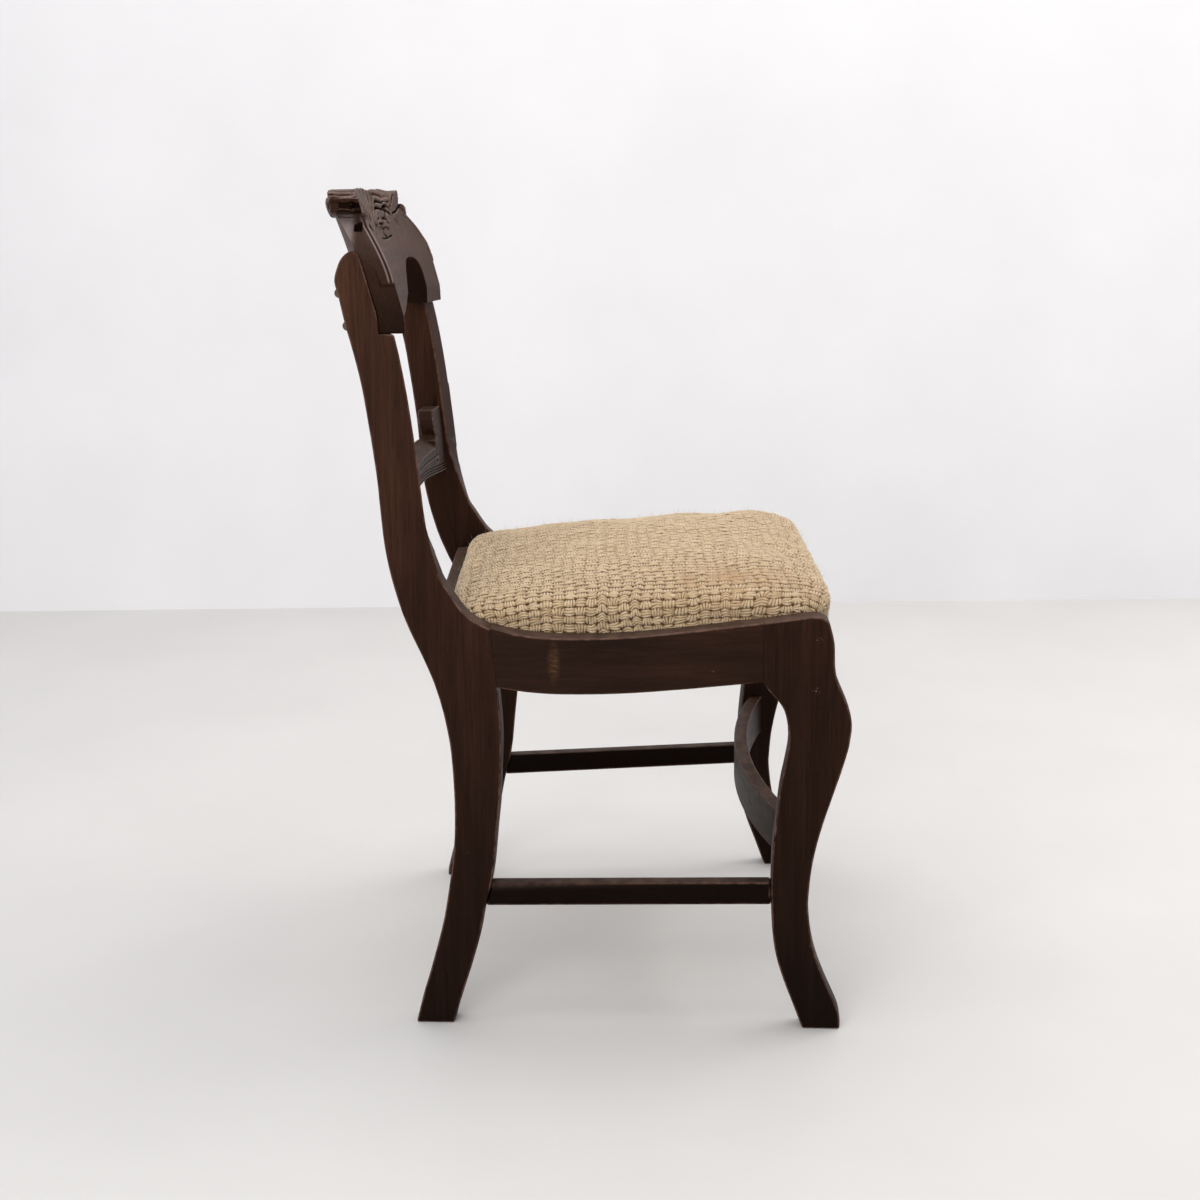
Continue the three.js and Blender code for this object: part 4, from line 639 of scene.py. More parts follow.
# The notch is cut in and painted dark as its shadow, a little past its edge.
NOTCH_PLACE, NOTCH_HALF, NOTCH_DEPTH = (-176.6, 212.6, 808.8), (6.0, 3.3, 3.1), 4.5
NOTCH_FADE, NOTCH_SHADE_SPREAD = 0.6, 0.5
LEAFLET_U, LEAFLET_HALF, LEAFLET_RISE, LEAFLET_TOP = 168.0, 9.0, 5.5, 822.0
LEAFLET_DEEP, LEAFLET_FACING = (8.0, 11.0), (0.55, 0.7)


def carved_cuts(u, v, cuts):
    """Depth in millimetres of a set of cuts, their dirt and painted shade, and the rubbing and painted
    highlight on the ridges beside them.
    """
    depth, dirt_and_shade, rub_and_highlight = np.zeros_like(u), np.zeros_like(u), np.zeros_like(u)
    for line, half, deep in cuts:
        reach = line_distance(u, v, line) / (half * CUT_SPREAD * MM)
        depth = np.maximum(depth, deep * CUT_DEEPEN * dome(reach, 1.0))
        dirt_and_shade = np.maximum(dirt_and_shade, 1.0 - fade(reach, *CUT_DIRT_AND_SHADE_BAND))
        rub_and_highlight = np.maximum(rub_and_highlight, bell(reach - CUT_RUB_AND_HIGHLIGHT_PLACE, CUT_RUB_AND_HIGHLIGHT_REACH))
    return depth, dirt_and_shade, rub_and_highlight


def bulge(u, v, cuts, height):
    """Rounded swells between the cuts of a set."""
    gap = np.min([line_distance(u, v, line) for line, _, _ in cuts], axis=0)
    return height * np.sqrt(np.clip(gap / (BULGE_REACH * MM), 0.0, 1.0))


def carve_front(u, v, rim):
    """Height of the crest rail's carving above its plain face in millimetres, its dirt and painted shade, and
    its rubbing and painted highlight.
    """
    edge_u, edge_v = np.array(LEAF_EDGE, float).T * MM
    leaf = fade(v - np.interp(u, edge_u, edge_v), 0.0, LEAF_SLOPE * MM)
    leaf = leaf * (1.0 - fade(u / MM, *LEAF_END))
    folded = 1.0 - fade(u / MM, *FOLD_END)
    swell = folded * bulge(u, v, FOLD_CUTS, FOLD_BULGE)
    swell = swell + (1.0 - folded) * bulge(u, v, PETAL_CUTS, PETAL_BULGE)
    depth, dirt_and_shade, rub_and_highlight = carved_cuts(u, v, PETAL_CUTS + EAR_CUTS + STEM_CUTS + FOLD_CUTS)
    bead, bead_dirt_and_shade, _ = carved_cuts(u, v, SHOULDER_BEAD_CUTS)
    oval_u, oval_v = (place / MM - middle for place, middle in zip((u, v), OVAL_PLACE))
    oval = np.hypot(oval_u / OVAL_SIZE[0], oval_v / OVAL_SIZE[1])
    hollow = OVAL_DEPTH * np.maximum(1.0 - oval**4, 0.0)
    raised = leaf * (np.where(rim, -FOLD_BULGE, LEAF_RISE) + swell)
    dirt_and_shade = np.maximum(dirt_and_shade, SHOULDER_BEAD_DIRT_AND_SHADE * bead_dirt_and_shade)
    return raised - np.maximum(np.maximum(depth, bead), hollow), dirt_and_shade, rub_and_highlight * leaf


def carve_top(u, y, upward):
    """Terraces across the top face and a scroll in its middle: lift in millimetres, dirt and painted shade,
    and rubbing and painted highlight.
    """
    lift, dirt_and_shade, rub_and_highlight = np.zeros_like(u), np.zeros_like(u), np.zeros_like(u)
    wavy = u + sum(height * np.sin(y / length) for height, length in TERRACE_WAVES)
    for inner, outer in zip(TERRACES[:-1], TERRACES[1:]):
        inside = (wavy >= inner) & (wavy < outer)
        lift = np.where(inside, TERRACE_DROP * (2.0 * (wavy - inner) / (outer - inner) - 1.0), lift)
        step_dirt_and_shade = inside * (1.0 - fade(wavy - inner, *TERRACE_DIRT_AND_SHADE_BAND))
        dirt_and_shade = np.maximum(dirt_and_shade, step_dirt_and_shade * (inner > 0.0))
        rub_and_highlight = np.maximum(rub_and_highlight, inside * fade(wavy - outer, *TERRACE_RUB_AND_HIGHLIGHT_BAND))
    away = np.hypot(u - SCROLL_PLACE[0], y - SCROLL_PLACE[1])
    rings = np.max([dome(away - radius, SCROLL_HALF) for radius in SCROLL_RADII], axis=0)
    return upward * (lift - SCROLL_DEPTH * rings), upward * np.maximum(dirt_and_shade, rings), upward * rub_and_highlight


def behind_arris(y, v, flank):
    """How far points lie behind the front arris of their end in millimetres, from a smoothed arris line."""
    level = np.round(v / LEVEL_STEP).astype(int)
    front = np.full(level.max() + 1, np.inf)
    np.minimum.at(front, level[flank], y[flank])
    seen = np.flatnonzero(np.isfinite(front))
    window = 2 * LEVEL_REACH + 1
    padded = np.pad(front[seen], LEVEL_REACH, mode="edge")
    arris = np.convolve(padded, np.ones(window) / window, mode="valid")
    return y - np.interp(v / LEVEL_STEP, seen, arris)


def arris_bead(behind, v, flank):
    """A double bead beside the arris of both ends: its groove, for dirt and painted shade, and its sides, for
    a painted highlight.
    """
    beaded = flank * fade(v, ARRIS_BEAD_LOW, ARRIS_BEAD_LOW + ARRIS_BEAD_FADE)
    beaded = beaded * (1.0 - fade(v, ARRIS_BEAD_HIGH, ARRIS_BEAD_HIGH + ARRIS_BEAD_FADE))
    beside = np.abs(behind - ARRIS_BEAD_PLACE)
    return dome(beside, ARRIS_BEAD_HALF) * beaded, bell(beside - ARRIS_HIGHLIGHT_PLACE, ARRIS_HIGHLIGHT_REACH) * beaded


def notch_box(places, spread):
    """The small mortise below the near ear, grown by a spread."""
    return np.prod([
        1.0 - fade(np.abs(place - middle), half + spread - NOTCH_FADE, half + spread + NOTCH_FADE)
        for place, middle, half in zip(places, NOTCH_PLACE, NOTCH_HALF)
    ], axis=0)


def ear_recess(u, y, v, normals):
    """The recess under each ear's lip, and the painted shade below it."""
    outer = fade(np.maximum(np.abs(normals[:, 0]), normals[:, 1]), *EAR_FACING)
    lip = EAR_LIP_HEIGHT - EAR_STEP * fade(EAR_STEP_PLACE - y, 0.0, EAR_STEP_FADE)
    lip = lip + EAR_LIP_WAVE * np.sin(y / EAR_LIP_WAVE_LENGTH)
    under_ear = fade(lip - v, 0.0, EAR_LIP_FADE) * fade(u, *EAR_SPAN) * outer
    return under_ear * fade(v, *EAR_RECESS_LOW), EAR_SHADE * under_ear * fade(v, *EAR_SHADE_LOW)


def shoulder_leaflet(u, v, behind, normals):
    """The small raised leaf on each shoulder."""
    leaf = dome(u - LEAFLET_U, LEAFLET_HALF) * fade(normals[:, 2], *LEAFLET_FACING)
    return leaf * (1.0 - fade(behind, *LEAFLET_DEEP)) * (v < LEAFLET_TOP)


def carve_ends(points, normals):
    """Depth in millimetres of what is cut into the crest rail's ends, its painted shade and dirt, and its
    painted highlight.
    """
    across, y, v = points[:, 0] / MM, points[:, 1] / MM, points[:, 2] / MM
    u = np.abs(across)
    recess, ear_shade = ear_recess(u, y, v, normals)
    flank = (np.abs(normals[:, 0]) > FLANK_FACING) & (u > END_START)
    behind = behind_arris(y, v, flank)
    bead, rub_and_highlight = arris_bead(behind, v, flank)
    sideways = fade(np.abs(normals[:, 0]), *SIDE_FACING) * (u > END_START)
    # Painted highlight on the upper back part of each end's side.
    painted_sheen = fade(y, *END_HIGHLIGHT_BACK) * fade(v, *END_HIGHLIGHT_ABOVE)
    painted_sheen = painted_sheen * (1.0 - fade(v, *END_HIGHLIGHT_BELOW)) * sideways
    # Painted shade on the ends' sides, darkest low down and none under the painted highlight.
    shade = np.interp(fade(v, *SHADE_BELOW), (0.0, 1.0), WING_SHADE[::-1])
    shade = shade * sideways * (1.0 - painted_sheen) * (1.0 - rub_and_highlight)
    # Painted shadow in the notch.
    notch, notch_shade = (notch_box((across, y, v), spread) for spread in (0.0, NOTCH_SHADE_SPREAD))
    leaf = shoulder_leaflet(u, v, behind, normals) * (1.0 - notch_shade)
    depth = np.max([EAR_LIP_DEPTH * recess, ARRIS_BEAD_DEPTH * bead, NOTCH_DEPTH * notch], axis=0)
    # Painted shade in the ear recess, less towards its back.
    shaded = RECESS_SHADE * recess * (1.0 - EAR_BACK_LIFT * fade(y, *EAR_BACK))
    dirt_and_shade = [shaded, ARRIS_BEAD_DIRT_AND_SHADE * bead, notch_shade, shade, ear_shade * (1.0 - painted_sheen)]
    pale = np.maximum(END_HIGHLIGHT_MIX * painted_sheen, ARRIS_HIGHLIGHT_MIX * rub_and_highlight) * (1.0 - notch_shade)
    return depth - LEAFLET_RISE * leaf, np.max(dirt_and_shade, axis=0), pale


def start_carved(node):
    """A dense copy of a node, evened out, with its points and normals."""
    mesh = dense_copy(node, CARVING_VOXEL)
    relaxed(mesh, CARVING_ROUNDS)
    return mesh, read_points(mesh), read_normals(mesh)


def finish_carved(node, mesh, material, dirt_and_shade, rub_and_highlight):
    relaxed(mesh, rounds=1)
    mark_wear_and_light(mesh, dirt_and_shade, rub_and_highlight)
    mesh.shade_smooth()
    return new_piece(node + "_wood", mesh, material, (node,))


def crest_rail(material):
    """The crest rail with its leaf carving."""
    mesh, points, normals = start_carved("crest_rail")
    across, v = np.abs(points[:, 0]), points[:, 2]
    above_rim = v > RIM_HEIGHT * MM
    upward = fade(normals[:, 2], *TOP_FACING) * above_rim
    facing = np.maximum(-normals[:, 1], RIM_SHARE * normals[:, 2] * above_rim)
    facing = fade(facing, *FRONT_FACING)
    height, dirt_and_shade, rub_and_highlight = carve_front(across, v, normals[:, 2] > RIM_FACING)
    terrace, terrace_dirt_and_shade, terrace_rub_and_highlight = carve_top(across / MM, points[:, 1] / MM, upward)
    depth, end_shade_and_dirt, pale = carve_ends(points, normals)
    write_points(mesh, points + normals * ((facing * height + terrace - depth) * MM)[:, None])
    put_attribute(mesh, "end_highlight_paint", pale)
    dirt_and_shade = np.max([facing * dirt_and_shade, terrace_dirt_and_shade, end_shade_and_dirt], axis=0)
    return finish_carved("crest_rail", mesh, material, dirt_and_shade, np.maximum(facing * rub_and_highlight, terrace_rub_and_highlight))


# The mid rail's bead grooves get dirt and painted shade, and their ridges rubbing and a painted highlight.
MID_BEAD_PLACES, MID_BEAD_HALF, MID_BEAD_DEPTH, MID_BEAD_DIRT_AND_SHADE = (2.4, 5.4, 8.4), 1.2, 1.2, 0.8
MID_RUB_AND_HIGHLIGHT = 0.5
MID_RIDGE_CUTS = (
    (((0, 541), (60, 540), (138, 537)), 0.8, 0.5),
    (((146, 537), (152, 537)), 1.6, 1.4),
    (((146, 531), (152, 531)), 1.6, 1.4),
    (((157, 583), (154, 570), (157, 556)), 1.1, 0.7),
)
MID_ARCH = ((0, 525.9), (60, 524.1), (120.5, 518.9), (159.3, 515.3), (190, 514.0))


def mid_rail(material):
    """The mid rail with mouldings along its arched lower edge."""
    mesh, points, normals = start_carved("mid_rail")
    u, v = np.abs(points[:, 0]), points[:, 2]
    arch_u, arch_v = np.array(MID_ARCH).T * MM
    above = (v - np.interp(u, arch_u, arch_v)) / MM
    facing = fade(-normals[:, 1], *FRONT_FACING)
    bead = np.max([dome(above - place, MID_BEAD_HALF) for place in MID_BEAD_PLACES], axis=0)
    depth, dirt_and_shade, rub_and_highlight = carved_cuts(u, v, MID_RIDGE_CUTS)
    depth = facing * np.maximum(MID_BEAD_DEPTH * bead, depth) * MM
    write_points(mesh, points - normals * depth[:, None])
    dirt_and_shade = facing * np.maximum(MID_BEAD_DIRT_AND_SHADE * bead, dirt_and_shade)
    return finish_carved("mid_rail", mesh, material, dirt_and_shade, MID_RUB_AND_HIGHLIGHT * facing * rub_and_highlight)


# Seat cover
seat_low, seat_high = (Vector(v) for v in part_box("seat_cover"))
TOE_SLOPE = math.tan(math.radians(3.43))
SEAT_STEP = 0.64 * MM
SEAT_CORNER = 34.0 * MM
WIDEST_BEHIND_FRONT = 34.0 * MM
EDGE_ROLL = 15.0 * MM
SEAT_BASE = 400.0 * MM
EDGE_HEIGHT = 40.0 * MM
WALL_REACH = EDGE_ROLL * (math.pi / 2.0 - 1.0) + EDGE_HEIGHT
CROWN_HEIGHT = 66.6 * MM
EDGE_TILT = 4.0 * MM
CROWN_TILT = 11.2 * MM
REAR_DROOP = 4.5 * MM
CROWN_POWER = 2.2
PLAN_POWER = 8.0
SIDE_DRAW = 2.5 * MM
SEAT_INSET = 0.4 * MM
UNDER_TURN = 12.0 * MM
LUMP_HEIGHT = 0.9 * MM
REAR_DROOP_BAND = (0.2, 1.0)
COLUMN_PITCH = 11.2 * MM
ROW_PITCH = 8.4 * MM
WEAVE_DRIFT = 2.8 * MM
YARNS_ALONG, YARNS_ACROSS = 3, 4
YARN_HALF_SHARE = 0.49
YARN_RISE, YARN_MIDDLE, YARN_LIMIT = 2.8 * MM, 0.35, 1.3
UNDER_SHARE = 0.50
LOT_TABLE, LOT_RISE, LOT_TWIST = 128, 0.10, 0.55
HOLE_DEPTH, HOLE_SHARE, HOLE_LOT = 0.75, 0.17, 0.6
SEAM_DEPTH, SEAM_SHARE, SEAM_LOT = 0.26, 0.085, 0.5
# Painted shadow along the seams between rows.
SEAM_SHADE, SEAM_SHADE_SHARE, SEAM_SHADE_LOT = 0.38, 0.14, 0.4
ROW_JITTER = 0.17
GRIT = 0.035
WORN_FLAT_REACH, WORN_FLAT_EDGE = 70.0 * MM, 21.0 * MM
WORN_PLUMP, PLUMP_GAIN = 0.85, 0.15
STAIN_PLACE, STAIN_REACH, STAIN_STRENGTH = (-0.175, -0.150), (0.040, 0.075), 0.7
FIBER_COUNT, FIBER_SIDES, FIBER_JOINTS = 2600, 3, 3
FIBER_RADIUS, FIBER_TAPER, FIBER_TILT = 0.11 * MM, 0.6, 0.5
FIBER_LENGTHS, FIBER_STAND, FIBER_LEAN, FIBER_CURL = (2.5, 7.5), 0.55, 0.75, 0.22
FIBER_TONE = 0.85
COVER_SPARE = 8.0 * MM
FILLING_STEP = 4.0 * MM
FILLING_DEPTH = 3.6 * MM

# Ripples are their seed, count, and shortest and longest length in metres.
LUMP_RIPPLES = (5, 9, 0.05, 0.14)
P_DRIFT, Q_DRIFT = (21, 6, 0.06, 0.16), (22, 6, 0.06, 0.16)
WEAVE_SEED, GRIT_SEED, FIBER_SEED = 7, 11, 13


def ripples(x, y, seed, count, shortest, longest):
    """A smooth uneven field of about unit height, from ripples in random directions."""
    rng = np.random.default_rng(seed)
    field = np.zeros_like(x)
    for _ in range(count):
        angle, phase = rng.uniform(0.0, 2.0 * math.pi, 2)
        length = rng.uniform(shortest, longest)
        field += np.sin(2.0 * math.pi * (x * math.cos(angle) + y * math.sin(angle)) / length + phase)
    return field / math.sqrt(count)


def seat_half_width(y):
    """Half the cover's width at places along the chair, from the frame's toe-in behind the rounded corner."""
    widest = seat_low.y + WIDEST_BEHIND_FRONT
    return seat_high.x - SEAT_INSET - (np.clip(y, seat_low.y, seat_high.y) - widest) * TOE_SLOPE


def seat_edge(p, q):
    """Signed distance to the cover's rounded outline, and the outward direction, at plan points."""
    middle_y = 0.5 * (seat_low.y + seat_high.y)
    half_length = 0.5 * (seat_high.y - seat_low.y) - SEAT_INSET
    dx = np.abs(p) - (seat_half_width(q) - SEAT_CORNER)
    dy = np.abs(q - middle_y) - (half_length - SEAT_CORNER)
    outside = np.hypot(np.maximum(dx, 0.0), np.maximum(dy, 0.0))
    inside = np.minimum(np.maximum(dx, dy), 0.0)
    distance = outside + inside - SEAT_CORNER
    corner = (dx > 0) & (dy > 0)
    nx = np.where(corner, dx, (dx >= dy) * 1.0)
    ny = np.where(corner, dy, (dx < dy) * 1.0)
    length = np.maximum(np.hypot(nx, ny), TINY)
    return distance, nx / length * np.sign(p), ny / length * np.sign(q - middle_y)


def crown_height(x, y):
    """Height of the padded top at plan points: a crown that slopes up towards the front."""
    middle_y = 0.5 * (seat_low.y + seat_high.y)
    ahead = (middle_y - y) / (0.5 * (seat_high.y - seat_low.y))
    across = np.abs(x) / seat_half_width(y)
    reach = (across**PLAN_POWER + np.abs(ahead) ** PLAN_POWER) ** (1.0 / PLAN_POWER)
    rise = np.sqrt(np.maximum(1.0 - np.clip(reach, 0.0, 1.0) ** CROWN_POWER, 0.0))
    lumps = LUMP_HEIGHT * ripples(x, y, *LUMP_RIPPLES)
    tilt = EDGE_TILT + (CROWN_TILT - EDGE_TILT) * rise
    droop = REAR_DROOP * fade(-ahead, *REAR_DROOP_BAND)
    return SEAT_BASE + EDGE_HEIGHT + (CROWN_HEIGHT - EDGE_HEIGHT) * rise + tilt * ahead + lumps - droop


def seat_surface(p, q):
    """Where a point of the flat cloth lies on the finished seat: over the crown, round the roll and down."""
    distance, nx, ny = seat_edge(p, q)
    over = np.maximum(distance + EDGE_ROLL, 0.0)
    edge_x = p - nx * over
    edge_y = q - ny * over
    top = crown_height(edge_x, edge_y)
    quarter = EDGE_ROLL * math.pi / 2.0
    angle = np.clip(over / EDGE_ROLL, 0.0, math.pi / 2.0)
    out = EDGE_ROLL * np.sin(angle)
    down = EDGE_ROLL * (1.0 - np.cos(angle))
    wall = np.maximum(over - quarter, 0.0)
    wall_height = np.maximum(top - EDGE_ROLL - SEAT_BASE, MM)
    drop = np.minimum(wall, wall_height)
    under = np.minimum(np.maximum(wall - wall_height, 0.0), UNDER_TURN)
    drawn = SIDE_DRAW * np.sin(np.pi * drop / wall_height)
    reach = out - drawn - under
    return np.stack([edge_x + nx * reach, edge_y + ny * reach, top - down - drop], axis=-1)


def yarn_lanes(places, half_share):
    """Rounded crowns of yarns laid side by side, one per whole number."""
    return np.sqrt(dome(places - np.floor(places) - 0.5, half_share))


def yarn_relief(p, q, seed):
    """A basket weave at cloth places: its height, 0 in holes and 1 on yarns, and the painted shadow in its
    seams.
    """
    rng = np.random.default_rng(seed)
    p = p + WEAVE_DRIFT * ripples(p, q, *P_DRIFT)
    q = q + WEAVE_DRIFT * ripples(p, q, *Q_DRIFT)
    columns, rows = q / COLUMN_PITCH, p / ROW_PITCH
    column = np.floor(columns).astype(int)
    jitter = rng.normal(0.0, 1.0, LOT_TABLE)[column % LOT_TABLE]
    rows = rows + ROW_JITTER * jitter * np.sin(np.pi * columns) ** 2
    row = np.floor(rows).astype(int)
    lot = rng.normal(0.0, 1.0, (LOT_TABLE, LOT_TABLE))[column % LOT_TABLE, row % LOT_TABLE]
    twist = LOT_TWIST * lot * (columns - column - 0.5) * (rows - row - 0.5)
    over = np.sin(np.pi * columns) * (1 - 2 * (row % 2))
    under = -np.sin(np.pi * rows) * (1 - 2 * (column % 2))
    level = [UNDER_SHARE * (1.0 + np.sign(wave) * np.sqrt(np.abs(wave))) for wave in (over, under)]
    lengthwise = yarn_lanes(YARNS_ALONG * (rows + twist), YARN_HALF_SHARE) * level[0]
    crosswise = yarn_lanes(YARNS_ACROSS * (columns + twist), YARN_HALF_SHARE) * level[1]
    off_column, off_seam = columns - np.round(columns), rows - np.round(rows)
    hole = HOLE_DEPTH * (1.0 + HOLE_LOT * lot) * bell(np.hypot(off_column, off_seam), HOLE_SHARE)
    seam = SEAM_DEPTH * (1.0 + SEAM_LOT * lot) * bell(off_seam, SEAM_SHARE)
    # The tone is painted shadow along the seams.
    tone = SEAM_SHADE * (1.0 + SEAM_SHADE_LOT * lot) * bell(off_seam, SEAM_SHADE_SHARE)
    yarns = np.maximum(lengthwise, crosswise) * (1.0 + LOT_RISE * lot)
    return np.maximum(yarns - np.maximum(hole, seam), 0.0), tone


def stray_fibers(points, normal, seed):
    """Short curled fibres that stand off the yarn, as thin three-sided tubes: points and quads."""
    rng = np.random.default_rng(seed)
    chosen = rng.integers(0, len(points), FIBER_COUNT)
    root = points[chosen]
    lean = rng.normal(0.0, 1.0, (FIBER_COUNT, 3))
    lean /= np.linalg.norm(lean, axis=1, keepdims=True)
    curl = rng.normal(0.0, 1.0, (FIBER_COUNT, 3))
    length = rng.uniform(*FIBER_LENGTHS, FIBER_COUNT)[:, None] * MM
    rise = normal[chosen] * FIBER_STAND + lean * FIBER_LEAN
    verts, quads = [], []
    for joint in range(FIBER_JOINTS + 1):
        share = joint / FIBER_JOINTS
        middle = root + rise * length * share + curl * length * FIBER_CURL * share * share
        for side in range(FIBER_SIDES):
            turn = 2.0 * math.pi * side / FIBER_SIDES
            offset = np.array([math.cos(turn), math.sin(turn), FIBER_TILT * math.sin(turn)])
            verts.append(middle + offset * FIBER_RADIUS * (1.0 - FIBER_TAPER * share))
    verts = np.stack(verts, axis=1).reshape(-1, 3)
    for start in range(0, len(verts), FIBER_SIDES * (FIBER_JOINTS + 1)):
        for joint in range(FIBER_JOINTS):
            for side in range(FIBER_SIDES):
                a = start + joint * FIBER_SIDES + side
                b = start + joint * FIBER_SIDES + (side + 1) % FIBER_SIDES
                quads.append((a, b, b + FIBER_SIDES, a + FIBER_SIDES))
    return verts, np.array(quads)


def laid_cloth(reach, step):
    """A flat grid that hangs over the seat's box by a reach, and where it lies on the seat, with normals."""
    p = np.arange(-seat_high.x - reach, seat_high.x + reach, step)
    q = np.arange(seat_low.y - reach, seat_high.y + reach, step)
    pp, qq = np.meshgrid(p, q, indexing="ij")
    points = seat_surface(pp, qq)
    normal = np.cross(np.gradient(points, axis=0), np.gradient(points, axis=1))
    normal /= np.maximum(np.linalg.norm(normal, axis=-1, keepdims=True), TINY)
    return pp, qq, points, normal


def kept_quads(kept):
    """The quads between kept points of a grid, as indices into the kept points."""
    index = -np.ones(kept.shape, int)
    index[kept] = np.arange(kept.sum())
    corners = [index[:-1, :-1], index[1:, :-1], index[1:, 1:], index[:-1, 1:]]
    quads = np.stack(corners, axis=-1).reshape(-1, 4)
    return quads[(quads >= 0).all(axis=1)]


def woven_heights(pp, qq, distance):
    """How high the yarn stands, and its tone: flatter where the seat is worn, with painted shadow in its
    seams.
    """
    plump = WORN_PLUMP + PLUMP_GAIN * fade(distance, -WORN_FLAT_REACH, -WORN_FLAT_EDGE)
    weave, seam_shade = yarn_relief(pp, qq, WEAVE_SEED)
    relief = 1.0 - (1.0 - weave) * plump
    grit = np.random.default_rng(GRIT_SEED).normal(0.0, GRIT, relief.shape)
    lifted = np.clip(relief + grit, 0.0, YARN_LIMIT)
    on_top = 1.0 - fade(distance, -WORN_FLAT_EDGE, 0.0)
    return lifted, np.maximum(lifted - seam_shade * on_top, 0.0)


def seat_cover():
    """The woven cover as one cloth, laid over the seat and turned under its edge."""
    reach = WALL_REACH + UNDER_TURN + COVER_SPARE
    pp, qq, points, normal = laid_cloth(reach, SEAT_STEP)
    distance, _, _ = seat_edge(pp, qq)
    lifted, tone = woven_heights(pp, qq, distance)
    points = points + normal * (lifted[..., None] - YARN_MIDDLE) * YARN_RISE
    kept = distance < reach
    near_top = distance[kept] < EDGE_ROLL
    fibers, fiber_quads = stray_fibers(points[kept][near_top], normal[kept][near_top], FIBER_SEED)
    verts = np.vstack([points[kept], fibers])
    quads = np.vstack([kept_quads(kept), fiber_quads + kept.sum()])
    mesh = bpy.data.meshes.new("seat_cover_cloth")
    mesh.from_pydata(verts.tolist(), [], quads.tolist())
    mesh.shade_smooth()
    put_attribute(mesh, "yarn_height_and_shade", np.concatenate([tone[kept], np.full(len(fibers), FIBER_TONE)]))
    spots = [bell(at - middle, far) for at, middle, far in zip((pp, qq), STAIN_PLACE, STAIN_REACH)]
    stain = STAIN_STRENGTH * spots[0] * spots[1]
    put_attribute(mesh, "seat_stain", np.concatenate([stain[kept], np.zeros(len(fibers))]))
    piece = new_piece("seat_cover_cloth", mesh, woven_yarn("woven_yarn"), ("seat_cover",))
    return piece


def seat_filling(material):
    """The wadding: the cover's own form drawn in a little and closed by a flat underside."""
    low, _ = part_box("seat_filling")
    pp, qq, points, normal = laid_cloth(WALL_REACH, FILLING_STEP)
    points = points - normal * FILLING_DEPTH
    points[..., 2] = np.maximum(points[..., 2], low[2])
    kept = seat_edge(pp, qq)[0] < WALL_REACH
    mesh = bpy.data.meshes.new("seat_filling_wadding")
    mesh.from_pydata(points[kept].tolist(), [], kept_quads(kept).tolist())
    bm = bmesh.new()
    bm.from_mesh(mesh)
    bmesh.ops.holes_fill(bm, edges=bm.edges, sides=0)
    bm.to_mesh(mesh)
    bm.free()
    mesh.shade_smooth()
    piece = new_piece("seat_filling_wadding", mesh, material, ("seat_filling",))
    return piece


# Screw heads
DOME_RADIUS, DOME_HEIGHT, DOME_BASE = 4.7 * MM, 4.6 * MM, 2.8 * MM
DOME_SEGMENTS, DOME_RINGS = 20, 14
CREST_SCREWS = 4


def domed_screw(node, material):
    """A screw through a stile with a full round head on the stile's back."""
    source = frame["nodes"][node]
    bm = bmesh.new()
    bm.from_mesh(source.data)
    points = np.array([v.co[:] for v in bm.verts])
    middle = points.mean(axis=0)
    axis = np.linalg.svd(points - middle)[2][0]
    axis = axis * np.sign(axis[1])
    base = middle + axis * (((points - middle) @ axis).max() - DOME_BASE)
    turn = Vector(axis).to_track_quat("Z", "Y").to_matrix().to_4x4()
    size = Matrix.Diagonal((DOME_RADIUS, DOME_RADIUS, DOME_HEIGHT, 1.0))
    place = Matrix.Translation(base) @ turn @ size
    bmesh.ops.create_uvsphere(bm, u_segments=DOME_SEGMENTS, v_segments=DOME_RINGS, radius=1.0, matrix=place)
    mesh = bpy.data.meshes.new(node + "_domed")
    bm.to_mesh(mesh)
    bm.free()
    mesh.shade_smooth()
    mesh.set_sharp_from_angle(angle=EDGE_ANGLE)
    return new_piece(node + "_domed", mesh, material, (node,))


# Stage and light
FLOOR_COLOR, FLOOR_ROUGHNESS = (0.60, 0.585, 0.57), 0.55
WALL_COLOR, WALL_ROUGHNESS = (0.80, 0.79, 0.80), 0.9
STAGE_REACH, WALL_DISTANCE, WALL_HEIGHT = 6, 1.6, 4
MOTTLE_NOISE, MOTTLE_STOPS = (3.0, 4.0), ((0.3, 0.97), (0.7, 1.02))
ROOM_COLOR, ROOM_STRENGTH = (0.92, 0.95, 1.0, 1.0), 0.48

# Area lights: name, place, aim, size, watts and colour.
LIGHTS = (
    ("window", (0.7, -2.2, 2.3), (0.0, 0.0, 0.45), (2.2, 1.8), 47.0, (1.0, 0.98, 0.95)),
    ("ceiling", (0.1, 0.4, 3.0), (0.0, 0.0, 0.4), (2.6, 2.6), 45.0, (1.0, 1.0, 1.0)),
    ("fill", (-3.0, 0.9, 1.5), (0.0, 0.0, 0.5), (2.2, 2.0), 70.0, (1.0, 0.98, 0.96)),
)


def flat_stage(name, corners, color, roughness):
    """A large flat sheet with a faint mottle, which is no part of the chair."""
    mesh = bpy.data.meshes.new(name)
    mesh.from_pydata(corners, [], [(0, 1, 2, 3)])
    n = Nodes(name)
    mottle = n.noise(n.place, *MOTTLE_NOISE)
    stops = [(place, tuple(min(1.0, c * share) for c in color)) for place, share in MOTTLE_STOPS]
    n.set("Base Color", n.ramp(mottle, stops))
    n.set("Roughness", roughness)
    mesh.materials.append(n.material)
    stage = new_object(name, mesh)
    return stage


